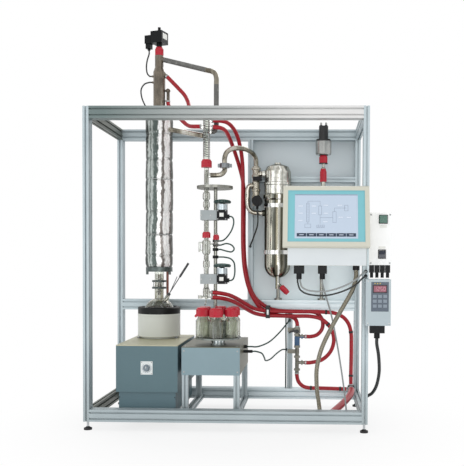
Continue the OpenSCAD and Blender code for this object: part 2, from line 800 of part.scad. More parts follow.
// Insulation wrapped in foil, tied in where its lengths meet
module column_jacket() {
    z0 = base_plate_z + base_plate_h;
    ties = 6;
    step = (jacket_top - z0) / ties;
    inner = tube_r + slide_gap;
    color("lightgray") at(column_x, col_t, 0) rotate_extrude($fn = 40) polygon(concat(
        [[inner, z0]],
        [for (i = [0 : ties - 1], u = [0, 0.08, 0.45, 0.92])
            [jacket_r - 3 + (u == 0 ? -4 : 2.5 * sin(140 * i + 300 * u)), z0 + (i + u) * step]],
        [[jacket_r - 8, jacket_top], [inner, jacket_top]]));
}

module head_stub(z, turn, tip, dip, r) {
    at(column_x, col_t, z) rotate([0, 0, turn]) rotate([0, 90 + dip, 0])
        translate([0, 0, head_r - 4]) cylinder(r = r, h = tip - head_r + 4);
}

module column_head() {
    color("lightcyan", 0.4) {
        at(column_x, col_t, 0) rotate_extrude($fn = 60) polygon([
            [6, head_z], [head_r, head_z], [head_r, head_shoulder], [head_neck_r, head_shoulder + 25],
            [head_neck_r, head_top], [head_bore_r + run_gap, head_top],
            [head_bore_r + run_gap, head_shoulder + 25],
            [head_r - 6, head_shoulder - 15], [head_r - 6, head_z + head_floor], [6, head_z + head_floor]]);
        at(column_x, col_t, vapour_z) rotate([0, 0, vapour_turn]) rotate([0, 90 + vapour_dip, 0])
            translate([0, 0, head_neck_r - 6]) cylinder(r = vapour_d / 2, h = vapour_stub - head_neck_r + 6);
        head_stub(hose_a_z, hose_a_turn, 58, hose_a_dip, 9);
        head_stub(1778, 0, 49, 0, 6);
        rod(column_x + 49, col_t, 1722, 1786, 9);
        at(column_x + 49, col_t, 1778) sphere(r = 13);
        for (z = cable_ports)
            rod_along_x(column_x - 40, column_x - 20, col_t, z, 6);
    }
}

module reflux_plunger() {
    z0 = head_z + head_floor + seat_gap;
    color("gainsboro") at(column_x, col_t, 0) rotate_extrude() polygon([
        [0, z0], [8, z0], [10, z0 + 6], [4, z0 + 14], [4, head_shoulder + 30],
        [head_bore_r, head_shoulder + 34],
        [head_bore_r, head_top - plunger_travel - 2], [0, head_top - plunger_travel - 2]]);
}

module red_screw_caps() {
    color("crimson") {
        at(column_x, col_t, head_top) ribbed_cap(23, cap_top - head_top, 5);
        at(line_x, glass_t, condenser_seat - 42) ribbed_cap(28, 42, line_r + slide_gap);
        at(line_x, glass_t, 963) ribbed_cap(21.5, 32, line_r + slide_gap);
        at(-85, glass_t, 953) ribbed_cap(16, 27, 9.3);
        at(sensor_x, sensor_t, 1390) ribbed_cap(23, 46, 13 + slide_gap);
        at(sensor_x, sensor_t, 1287) ribbed_cap(18.5, 73, 13 + slide_gap);
    }
}

// Arm that falls from the column's jacket to the condenser
module takeoff_arm() {
    difference() {
        at(line_x, glass_t, takeoff_z) rotate([0, 0, takeoff_turn]) rotate([0, 90 - takeoff_rise, 0])
            cylinder(d = vapour_d, h = takeoff_reach);
        rod(line_x, glass_t, takeoff_z - 40, takeoff_z + 40, condenser_r + slide_gap);
        rod(column_x, col_t, takeoff_z, jacket_top, jacket_r);
    }
}

// The tube dips to a bend above the riser, which ends in the condenser's arm
module vapour_line() {
    corner = [riser_x, pole_t, corner_z];
    inward = unit([0, 0, -1] - unit(corner - vapour_port(0)));
    color("gray") hose([vapour_port(vapour_stub), vapour_port(120), vapour_port(220),
        vapour_port(vapour_corner - 64), vapour_port(vapour_corner - bend), corner + bend / 3 * inward,
        corner - [0, 0, bend], corner - [0, 0, 64],
        [riser_x, pole_t, arm_z + 150], [riser_x, pole_t, arm_z + 70], arm_port(arm_reach - 1) + [0, 0, 30],
        arm_port(49.5) + [0, 0, 8], arm_port(42), arm_port(30)], vapour_d, 2, 12);
    color("tan") takeoff_arm();
}

// Glass product line with its valves

module line_stub(z, turn, tip, r) {
    at(line_x, glass_t, z) rotate([0, 0, turn]) rotate([0, 90, 0])
        translate([0, 0, line_bore + 4]) cylinder(r = r, h = tip - line_bore - 4);
}

module product_condenser() {
    color("lightcyan", 0.4) {
        at(line_x, glass_t, 0) rotate_extrude() polygon([
            [9, line_top], [line_r, line_top], [line_r, condenser_seat], [condenser_r, condenser_seat],
            [condenser_r, 1600], [12, 1608], [12, 1640], [8, 1645], [0, 1645], [0, 1634], [9, 1630]]);
        line_stub(arm_z, arm_turn, 30, vapour_d / 2);
        line_stub(1583, 0, 27, 8);
        line_stub(1548, 0, 27, 8);
        line_stub(1625, 180, 27, 8);
        line_stub(1552, 180, 27, 8);
    }
}

// Radii of the glass line from its top down: height, outside radius
line_shape = [[line_top, line_r], [1208, line_r], [1196, 20], [1172, 20], [1160, 13], [1148, 18], [1130, 18],
    [1120, line_r], [1012, line_r], [995, line_r], [954, line_r], [946, 22], [884, 22], [872, line_r],
    [846, line_r], [836, 18], [812, 18], [802, line_r], [700, line_r], [690, 18], [656, 18],
    [line_bottom, 8]];

module product_line() {
    color("lightcyan", 0.4) {
        at(line_x, glass_t, 0) rotate_extrude() polygon(concat(
            [[line_bore, line_top]],
            [for (p = line_shape) [p[1], p[0]]],
            [[line_bore, line_bottom]]));
        line_stub(1295, 0, 22, vacuum_d / 2);
        line_stub(672, 0, 27, 8);
        line_stub(646, 0, 27, 6);
        rod_along_x(line_x + 18, -85, glass_t, 928, 8);
        at(-85, glass_t, 928) sphere(r = 9);
        rod(-85, glass_t, 928, 990, 9);
        rod_along_x(line_x - 36, line_x - 18, glass_t, 936, 6);
        rod_along_x(line_x - 36, line_x - 18, glass_t, 894, 6);
        rod(line_x - 36, glass_t, 888, 942, 6);
        rod_along_x(line_x - 34, line_x - 8, glass_t, 648, 7);
        rod(line_x - 34, glass_t, 640, 658, 10);
    }
    color("lightcyan", 0.4) hose([[line_x, glass_t, line_bottom], [line_x, glass_t - 2, 632],
        [line_x + 1, glass_t - 26, 620], [carousel_x + receiver_pitch * cos(drip),
        ring_t + receiver_pitch * sin(drip) + 3, 612]], 10, 2);
}

module vacuum_line() {
    y = glass_t;
    color("tan") {
        hose([[line_x + 22, y, 1295], [-92, y, 1295], [-60, y + 6, 1300], [kf_x, kf_t - 3, 1320],
            [kf_x, kf_t, 1336], [kf_x, kf_t, 1360], [kf_x, kf_t + 2, 1390], [-32, y + 38, 1424],
            [-4, y + 68, 1446],
            [44, y + 118, 1454], [84, vessel_t - 64, 1444], [block_x - 3, vessel_t - 16, 1420],
            [block_x, vessel_t, 1388], [block_x, vessel_t, 1372]], vacuum_d, 2, 12);
        rod(block_x, vessel_t, 1150, 1373, 20);
        rod(block_x, vessel_t, 1352, 1366, 27);
        rod_along_x(block_x, trap_x - trap_r - 12, vessel_t, trap_port_z, 15);
        rod_along_x(block_x - 25, block_x, vessel_t, 1266, 13.5);
        hose([[block_x - 24, vessel_t, 1266], [block_x - 30, vessel_t, 1266], [block_x - 42, vessel_t, 1258],
            [block_x - 48, vessel_t, 1236], [block_x - 48, vessel_t, 1180], [block_x - 42, vessel_t, 1140],
            [block_x - 18, vessel_t, 1116], [block_x + 14, vessel_t, trap_low_port_z],
            [trap_x - trap_r - 12, vessel_t, trap_low_port_z]], vacuum_d, 2, 12);
    }
}

// Clamps on pipes and vessels
module wing_clamp(x, t, z, bore, r) {
    difference() {
        union() {
            rod(x, t, z, z + 24, r);
            block(x + r - 6, x + r + 12, t - 8, t + 8, z + 3, z + 21);
            block(x - r - 10, x - r + 6, t - 8, t + 8, z + 3, z + 21);
        }
        rod(x, t, z - 1, z + 25, bore);
    }
}

module trap_band(z) {
    difference() {
        union() {
            rod(trap_x, vessel_t, z, z + band_h, trap_r + 6);
            block(trap_x - 14, trap_x + 14, vessel_t + trap_r, stand_t + 16, z, z + band_h);
        }
        rod(trap_x, vessel_t, z - 1, z + band_h + 1, trap_r + run_gap);
        rod(trap_x, stand_t, z - 1, z + band_h + 1, rod_d / 2 + run_gap);
    }
}

module pipe_clamps() {
    holder_z = jacket_top + 1;
    color("dimgray") {
        wing_clamp(kf_x, kf_t, kf_z, vacuum_d / 2 + slide_gap, 26);
        for (z = band_z)
            trap_band(z);
        difference() {
            block(sensor_x - 22, sensor_x + 20, sensor_t - 20, stand_t + 18,
                sensor_clamp_z, sensor_clamp_z + 20);
            rod(sensor_x, sensor_t, sensor_clamp_z - 1, sensor_clamp_z + 21, 13 + run_gap);
            rod(sensor_x - 5, stand_t, sensor_clamp_z - 1, sensor_clamp_z + 21, rod_d / 2 + run_gap);
        }
        difference() {
            union() {
                rod(column_x, col_t, base_plate_z, base_plate_z + base_plate_h, 73);
                for (side = [-1, 1])
                    rod(column_x + side * 62, col_t - 22, base_plate_z - 16, base_plate_z + 4, 7);
            }
            rod(column_x, col_t, base_plate_z - 20, base_plate_z + base_plate_h + 1, tube_r + slide_gap);
        }
        difference() {
            union() {
                rod(column_x, col_t, holder_z, holder_z + 18, head_r + 8);
                block(column_x - 16, column_x + 16, col_t + head_r, back_t, holder_z, holder_z + 18);
                block(column_x - 30, column_x + 30, back_t - 8, back_t,
                    frame_top - profile_d + 6, holder_z + 18);
            }
            rod(column_x, col_t, holder_z - 1, holder_z + 19, head_r + slide_gap);
        }
    }
}

module stand(x, t, z0, z1, foot_r) {
    rod(x, t, z0, z1, rod_d / 2);
    rod(x, t, z0, z0 + 10, foot_r);
}

module stand_rods() {
    color("gainsboro") {
        stand(rod_x, pole_t, table_top, plate_z, 22);
        difference() {
            rod(rod_x - 4, pole_t, plate_z, plate_z + plate_h, plate_d / 2);
            rod(line_x, glass_t, plate_z - 1, plate_z + plate_h + 1, line_r + slide_gap);
        }
        stand(trap_x, stand_t, mid_beam_top, 1250, 22);
        stand(sensor_x - 5, stand_t, mid_beam_top, 1262, 22);
    }
}

module at_valves() {
    for (i = [0, 1])
        translate([0, 0, -i * valve_step]) children();
}

module valve_blocks() {
    x0 = line_x - 29;
    x1 = stack_x - coil_w / 2;
    color("lightslategray") at_valves() {
        difference() {
            block(x0, x1, glass_t - 24, pole_t + 24, valve_z, valve_z + block_h);
            rod(line_x, glass_t, valve_z - 1, valve_z + block_h + 1, line_r + slide_gap);
            rod(rod_x, pole_t, valve_z - 1, valve_z + block_h + 1, rod_d / 2 + run_gap);
        }
        difference() {
            rod(stack_x, stack_t, valve_z + coil_h, valve_z + coil_h + barrel_h, coil_w / 2 + 2);
            rod(stack_x, stack_t, valve_z + coil_h + 6, valve_z + coil_h + barrel_h + 1, 5 + run_gap);
        }
    }
}

module coil(x, t, z, w, h, depth) {
    block(x - w / 2, x + w / 2, t - depth / 2, t + depth / 2, z, z + h);
    rod_along_t(x, t - depth / 2 - 5, t - depth / 2, z + h / 2, w * 0.3);
}

module solenoid_coils() {
    color("black") {
        at_valves() coil(stack_x, stack_t, valve_z, coil_w, coil_h, coil_w);
        at(column_x, col_t, cap_top) cylinder(r = 15, h = coil_z - cap_top);
        at(column_x, col_t, coil_z) rotate([0, 0, coil_turn])
            translate([-reflux_coil_w / 2, -reflux_coil_w / 2, 0])
                cube([reflux_coil_w, reflux_coil_w, reflux_coil_h]);
        rod(column_x, col_t, coil_top, coil_top + pin_h, 8);
        block(block_x - 12, block_x + 34, vessel_t - 64, vessel_t - 20, 1287, 1311);
        rod_along_t(block_x + 10, vessel_t - 68, vessel_t - 20, 1176, 29);
    }
}

// A domed hand wheel with finger scallops
module valve_wheel(z) {
    r = wheel_d / 2;
    color("darkslategray") at(stack_x, stack_t, z) {
        translate([0, 0, -18]) cylinder(r = 5, h = 20);
        difference() {
            rotate_extrude($fn = 64) polygon([
                [0, 0], [13, 0], [15, 4], [r - 4, 4], [r, 8], [r, 16], [r - 7, 21],
                [16, 25], [0, 26]]);
            for (i = [0 : 9])
                rotate(i * 36) translate([r + 4, 0, 2]) cylinder(r = 8, h = 26, $fn = 24);
        }
    }
}

module upper_valve_wheel() { valve_wheel(valve_z + coil_h + barrel_h + seat_gap); }
module lower_valve_wheel() { valve_wheel(valve_z - valve_step + coil_h + barrel_h + seat_gap); }

// Receivers

module receiver_table() {
    x0 = table_x - table_w / 2;
    x1 = table_x + table_w / 2;
    t1 = table_front + table_depth;
    color("lightslategray") difference() {
        block(x0, x1, table_front, t1, apron_z, table_top);
        block(x0 + apron_wall, x1 - apron_wall, table_front + apron_wall, t1 - apron_wall,
            apron_z - 1, leg_top);
        rod(carousel_x, ring_t, leg_top - 1, table_top + 1, shaft_r + 2);
    }
}

module table_legs() {
    x0 = table_x - table_w / 2 + apron_wall;
    x1 = table_x + table_w / 2 - apron_wall - profile_w;
    t0 = table_front + apron_wall;
    t1 = table_front + table_depth - apron_wall - profile_w;
    color("silver") for (x = [x0, x1], t = [t0, t1])
        upright(x, t, rail_top, leg_top, profile_w, profile_w);
}

module carousel_motor() {
    color("gainsboro") {
        difference() {
            union() {
                rod(carousel_x, ring_t, leg_top - 118, leg_top - 14, 44);
                rod(carousel_x, ring_t, leg_top - 14, leg_top, 54);
            }
            rod(carousel_x, ring_t, leg_top - 60, leg_top + 1, shaft_r + run_gap);
        }
        difference() {
            union() {
                rod(carousel_x, ring_t, table_top, table_top + 6, pedestal_r + 6);
                rod(carousel_x, ring_t, table_top, table_top + pedestal_h, pedestal_r);
            }
            rod(carousel_x, ring_t, table_top - 1, table_top + pedestal_h + 1, shaft_r + run_gap);
        }
    }
}

module at_receivers() {
    for (i = [0 : receivers - 1])
        at(carousel_x, ring_t, 0) rotate(receiver_start + i * 360 / receivers)
            translate([receiver_pitch, 0, 0])
            children();
}

module carousel_plate() {
    color("lightgray") {
        rod(carousel_x, ring_t, carousel_z, bottle_z, carousel_r);
        rod(carousel_x, ring_t, leg_top - 50, carousel_z, shaft_r);
        rod(carousel_x, ring_t, bottle_z, bottle_z + 84, receiver_pitch - receiver_r - 13);
        rod(carousel_x, ring_t, bottle_z + 84, bottle_z + 130, 10);
        at(carousel_x, ring_t, bottle_z + 132) sphere(r = 15);
    }
}

module receiver_bottles() {
    neck = cap_r - 8;
    color("lightcyan", 0.4) at_receivers() translate([0, 0, bottle_z]) rotate_extrude() polygon([
        [0, 0], [receiver_r - 4, 0], [receiver_r, 4], [receiver_r, receiver_h - 22], [neck, receiver_h - 8],
        [neck, receiver_h], [neck - glass_wall, receiver_h], [neck - glass_wall, receiver_h - 9],
        [receiver_r - glass_wall, receiver_h - 24], [receiver_r - glass_wall, glass_wall + 2],
        [0, glass_wall]]);
}

module receiver_caps() {
    color("crimson") {
        at_receivers() translate([0, 0, cap_z]) ribbed_cap(cap_r, cap_h, 6, 36);
        at(carousel_x, ring_t, cap_z + 14) rotate(receiver_start + 180)
            translate([receiver_pitch + cap_r - 6, 0, 0]) rotate([0, 140, 0]) cylinder(r = 6, h = 20);
    }
}

// Cold trap and sensor

module trap_drain() {
    at(trap_x + 22, vessel_t - 30, drain_z) rotate([0, drain_turn, 0]) children();
}

module cold_trap() {
    r = trap_r;
    w = trap_wall;
    low = trap_z + r;
    top = trap_z + trap_h;
    flange_z = trap_z + 444;
    color("silver") {
        difference() {
            union() {
                at(trap_x, vessel_t, 0) rotate_extrude($fn = 72) polygon(concat(
                    [for (a = [-90 : 10 : 0]) [r * cos(a), low + r * sin(a)]],
                    [[r, flange_z - 10], [r + 8, flange_z], [r + 8, flange_z + 20], [r, flange_z + 28],
                        [r, flange_z + 74], [r + 4, flange_z + 78], [r + 4, flange_z + 88],
                        [r, flange_z + 92],
                        [r, top - 50], [r - 14, top - 22], [28, top - 10], [18, top - 8], [18, top],
                        [12, top], [12, top - 14], [r - 18, top - 26], [r - w, top - 52]],
                    [for (a = [0 : -10 : -90]) [(r - w) * cos(a), low + (r - w) * sin(a)]]));
                for (z = [trap_port_z, trap_low_port_z])
                    rod_along_x(trap_x - r - 12, trap_x - r + w, vessel_t, z, z == trap_port_z ? 20 : 17);
            }
        }
        difference() {
            union() {
                rod(trap_x, vessel_t - 30, drain_z - 14, trap_z + 10, 9);
                trap_drain() translate([0, 0, -28]) cylinder(r = 8, h = 28 - seat_gap);
            }
            trap_drain() translate([0, 0, -16]) cylinder(r = 4 + run_gap, h = 17);
        }
    }
}

module trap_drain_knob() {
    color("crimson") trap_drain() {
        cylinder(r = drain_d / 2 - 4, h = 6);
        translate([0, 0, -15]) cylinder(r = 4, h = 16);
        translate([0, 0, 4]) ribbed_cap(drain_d / 2, 52, 0.5, 16);
    }
}

module sensor_vessel() {
    color("darkgray") {
        at(sensor_x, sensor_t, 0) rotate_extrude() polygon([
            [0, 1200], [10, 1200], [13, 1206], [13, 1362], [9, 1368], [9, 1384], [13, 1390], [13, 1436],
            [40, 1438], [44, 1444], [44, 1512], [40, 1516], [40, 1524], [26, 1526], [26, 1598], [0, 1598]]);
        for (side = [-1, 1])
            rod(sensor_x + side * 14, sensor_t, 1598, 1618, 6);
    }
}

// Operator console and electrics

module on_console(x) {
    at(x, -console_reach, console_z) rotate([-console_lean, 0, 0]) children();
}

screen_margin = 23;
screen_depth = 4;

module console_housing() {
    low = console_z - 7;
    top_t = -console_reach + console_h * sin(console_lean);
    top_z = console_z + console_h * cos(console_lean);
    x1 = console_x + console_w;
    color("wheat") difference() {
        union() {
            at(console_x, 0, 0) rotate([90, 0, 90]) linear_extrude(console_w) polygon([
                [-console_reach, console_z], [top_t, top_z], [top_t + 10, top_z + 5], [-2, top_z - 2],
                [0, top_z - 4], [0, low], [-console_reach + 8, low]]);
            block(console_x + screen_margin, x1 - box_margin, -box_front, 0, low - console_box_h, low);
        }
        on_console(console_x + screen_margin) translate([0, -1, screen_margin])
            cube([console_w - 2 * screen_margin + 1, screen_depth + 1, console_h - screen_margin - 18]);
    }
}

module console_screen() {
    color("mediumturquoise") on_console(console_x + screen_margin)
        translate([slide_gap, 1, screen_margin + slide_gap])
        cube([console_w - 2 * screen_margin + 1 - 2 * slide_gap, screen_depth - 1,
            console_h - screen_margin - 18 - 2 * slide_gap]);
}

module power_box() {
    pocket = button_w - 6;
    color("white") difference() {
        block(half_w, half_w + box_w, 0, box_depth, box_z, box_z + box_h);
        block(button_x - pocket / 2, button_x + pocket / 2, -1, 18,
            button_z - pocket / 2, button_z + pocket / 2);
        block(button_x - 5 - switch_w / 2, button_x - 5 + switch_w / 2, -1, 18,
            switch_z - switch_h / 2 - 1, switch_z + switch_h / 2 + 1);
        rod_along_x(button_x - 5 - switch_w / 2 - 3, button_x - 5 + switch_w / 2 + 3, pivot_t, switch_z,
            2 + run_gap);
    }
}

module start_button() {
    stem = button_w - 6 - 2 * slide_gap;
    back = -button_travel - seat_gap;
    color("darkgreen") {
        block(button_x - button_w / 2, button_x + button_w / 2, back - 6, back,
            button_z - button_w / 2, button_z + button_w / 2);
        block(button_x - stem / 2, button_x + stem / 2, back, 8, button_z - stem / 2, button_z + stem / 2);
    }
}

module main_switch() {
    w = switch_w - 2 * slide_gap;
    color("midnightblue") at(button_x - 5, pivot_t, switch_z) {
        rotate([rocker_tilt, 0, 0]) rotate([90, 0, 90]) linear_extrude(w, center = true) polygon([
            [-9, -16], [-6, 0], [-9, 16], [-3, 16.5], [6, 8], [6, -8], [-3, -16.5]]);
        rotate([0, 90, 0]) cylinder(r = 2, h = w + 5, center = true);
    }
}

module heater_controller() {
    z0 = controller_top - controller_h;
    x1 = controller_x + controller_w;
    color("gainsboro") difference() {
        block(controller_x, x1, -controller_depth, 0, z0, controller_top);
        for (i = [0 : 7])
            block(controller_x - 1, controller_x + 9,
                -controller_depth + 12 + i * 11, -controller_depth + 18 + i * 11,
                z0 + 14, controller_top - 14);
        block(controller_x + 25, x1 - 10, -controller_depth - 1, -controller_depth + 2,
            z0 + 67, controller_top - 12);
    }
}

// A plug that narrows to its cable
module plug(x, t, z_top, w, depth, h, neck) {
    block(x - w / 2, x + w / 2, t - depth / 2, t + depth / 2, z_top - h * 0.6, z_top);
    rod(x, t, z_top - h, z_top - h * 0.6, neck);
}

module cable_plugs() {
    low = console_z - 7 - console_box_h;
    color("black") {
        plug(362, plug_front, low, 50, 36, low - 756, 13);
        plug(474, plug_front, low, 43, 36, low - 756, 13);
        rod(635, plug_front, 800, low, 16);
        for (i = [0 : 3])
            plug(half_w + 16 + i * 26, 32, box_z, 22, 34, 62, 8);
        plug(736, -60, controller_top - controller_h, 70, 44, controller_top - controller_h - 476, 14);
        at(column_x, col_t, plug_z) rotate([0, 0, coil_turn]) translate([-reflux_coil_w / 2, 0, 0]) {
            translate([-12, -8, 12]) cube([12, 16, 22]);
            translate([-48, -18, 0]) cube([36.5, 36, 44]);
            translate([-44, -14, -27]) cube([28, 28, 27.5]);
        }
        rod(coil_plug[0], coil_plug[1], 2005, plug_z - 26.5, 8);
        at_valves() block(stack_x + coil_w / 2, stack_x + coil_w / 2 + 12, stack_t - 10, stack_t + 10,
            valve_z + 8, valve_z + 30);
        rod(block_x + 10, vessel_t - 44, 1130, 1146.9, 7);
        rod_along_t(upper_upright_x, back_t - 11, back_t, 925, 7);
        rod_along_x(table_x + table_w / 2, 112, table_front + 210, 362, 8);
        rod_along_x(table_x + table_w / 2, 80, table_front + 240, 384, 9);
        rod_along_t(299, back_t - 9, back_t, 500, 8);
        rod_along_x(276, lower_upright_x - profile_w / 2, back_t + profile_w / 2, 330, 8);
        for (z = [862, 902, 926, 948])
            difference() {
                rod(rod_x, pole_t, z - 8, z + 8, rod_d / 2 + 6);
                rod(rod_x, pole_t, z - 9, z + 9, rod_d / 2 + run_gap);
            }
        for (z = [772, 794])
            rod_along_t(685, -13, 0, z, 8);
        rod_along_t(470, profile_d, 82, 80, 15);
        rod_along_t(530, profile_d, 82, 80, 20);
        rod_along_t(600, profile_d, 74, 80, 8);
        rod(685, 112, beam_top, 118, 10);
    }
}

// Cooling water

module water_manifold() {
    bracket_x = lower_upright_x;
    color("silver") {
        rod(water_x, pipe_t, water_bottom, water_top, pipe_d / 2);
        for (z = [water_bottom + 12, 290, valve_blue_z - 14, valve_blue_z + valve_blue_h, water_top - 14])
            hex(water_x, pipe_t, z, z + 12, 30);
        hex(water_x, pipe_t, lever_z - 13, lever_z + 8, 32);
        rod_along_t(water_x, pipe_t - 24, pipe_t, lever_z, 7);
        for (z = [branch_low_z, branch_high_z]) {
            rod_along_x(water_x, water_x + 43, pipe_t, z, 9);
            at(water_x + 24, pipe_t, z) rotate([0, 90, 0]) cylinder(d = 28, h = 8, $fn = 6);
        }
        block(water_x - valve_blue_w / 2, water_x + valve_blue_w / 2, pipe_t - 15, pipe_t + 15,
            valve_blue_z, valve_blue_z + valve_blue_h - 4);
        for (z = [322, 446])
            block(water_x - 12, water_x + 12, pipe_t, back_t, z - 8, z + 8);
        for (z = [322, 446])
            block(bracket_x - 12, water_x + 12, back_t - 5, back_t, z - 12, z + 12);
    }
}

module water_lever() {
    t1 = pipe_t - 24 - seat_gap;
    color("black") {
        rod_along_t(water_x, t1 - 8, t1, lever_z, 11);
        at(water_x, t1 - 7, lever_z) rotate([90, 180, 0]) translate([0, 0, -5]) linear_extrude(5)
            polygon([[0, -7], [20, -8], [38, -3], [48, 6], [46, 13], [34, 8], [18, 4], [0, 7]]);
    }
}

module red_hoses() {
    color("firebrick") {
        for (route = [hose_a, hose_b, hose_c, hose_d_route, hose_e, hose_f, hose_g])
            hose(route, hose_d);
        hose(drain_hose_route, drain_hose_d);
        block(632, 669, 562, 598, 98, 138);
    }
}

module cables() {
    color("dimgray") {
        for (route = [head_cable, loop_cable, console_cable, pair_cable, lower_pair_cable, motor_cable,
            plug_cable, riser_cable, upper_coil_cable, slack_cable, lower_coil_cable, trap_cable])
            hose(route, cable_d);
        hose(conduit, conduit_d);
        hose(controller_cable, power_cable_d);
    }
}

front_left_post();
front_right_post();
rear_left_post();
rear_right_post();
front_top_beam();
front_bottom_beam();
rear_top_beam();
rear_middle_rails();
rear_bottom_beam();
top_side_beams();
bottom_depth_rails();
rear_uprights();
levelling_feet();
rear_panels();
lift_plinth();
lift_housing();
lift_guide_rods();
mantle_shell();
mantle_liner();
mantle_collar();
heat_dial_plate();
heat_knob();
distillation_flask();
flask_probes();
column_jacket();
column_tube();
column_packing();
column_head();
reflux_plunger();
red_screw_caps();
vapour_line();
product_condenser();
product_line();
vacuum_line();
pipe_clamps();
stand_rods();
valve_blocks();
solenoid_coils();
upper_valve_wheel();
lower_valve_wheel();
receiver_table();
table_legs();
carousel_motor();
carousel_plate();
receiver_bottles();
receiver_caps();
cold_trap();
trap_drain_knob();
sensor_vessel();
console_housing();
console_screen();
power_box();
start_button();
main_switch();
heater_controller();
cable_plugs();
water_manifold();
water_lever();
red_hoses();
cables();
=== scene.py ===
from functools import partial, partialmethod
from itertools import product
from math import atan2, cos, degrees, exp, hypot, pi, radians, sin, tan

import bpy
from mathutils import Matrix, Vector, noise


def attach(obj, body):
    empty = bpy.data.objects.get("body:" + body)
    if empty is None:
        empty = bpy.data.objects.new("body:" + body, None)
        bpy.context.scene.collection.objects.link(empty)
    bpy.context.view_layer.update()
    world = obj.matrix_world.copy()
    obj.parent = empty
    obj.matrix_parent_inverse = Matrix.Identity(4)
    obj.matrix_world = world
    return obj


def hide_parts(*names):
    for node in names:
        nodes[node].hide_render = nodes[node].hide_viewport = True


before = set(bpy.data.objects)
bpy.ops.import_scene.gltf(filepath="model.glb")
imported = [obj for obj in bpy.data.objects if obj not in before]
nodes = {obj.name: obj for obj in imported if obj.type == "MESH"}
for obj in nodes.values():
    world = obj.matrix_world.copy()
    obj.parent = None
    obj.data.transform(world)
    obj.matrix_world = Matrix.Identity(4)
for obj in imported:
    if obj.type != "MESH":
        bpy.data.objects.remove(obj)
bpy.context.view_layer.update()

# Places and sizes are in millimetres: x from the frame's middle, t back from its front face, z up from the
# floor. Materials read metres, from the middle of the part's box.
MID_X, MID_T = 52.5, 287.5
COLUMN = COLUMN_X, COLUMN_T = -423, 480
LINE = LINE_X, LINE_T = -137, 316
RISER = RISER_X, RISER_T = -90, 350
MOTOR = -59, 210
TRAP = TRAP_X, TRAP_T = 230, 560
BLOCK_X = 108
SENSOR_X = 486
WHITE = (1.0, 1.0, 1.0)


def at(x, t, z):
    return Vector(((x - MID_X) / 1000, (t - MID_T) / 1000, z / 1000))


# Materials

M = {}


def lin(*rgb):
    """A colour written from 0 to 255, in linear light."""
    return [c / 12.92 if c <= 0.04045 else ((c + 0.055) / 1.055) ** 2.4 for c in (v / 255 for v in rgb)]


def shade(rgb, k):
    return [max(0.0, min(1.0, v * k)) for v in lin(*rgb)]


def node(tree, kind, inputs=None, **settings):
    """A new node; an input is a number, a colour or another node's output."""
    n = tree.nodes.new("ShaderNode" + kind)
    for k, v in settings.items():
        setattr(n, k, v)
    for k, v in (inputs or {}).items():
        feed(tree, n.inputs[k], v)
    return n


def feed(tree, sock, v):
    if isinstance(v, bpy.types.NodeSocket):
        tree.links.new(v, sock)
    elif sock.type == "RGBA":
        sock.default_value = (*v[:3], 1)
    else:
        sock.default_value = v


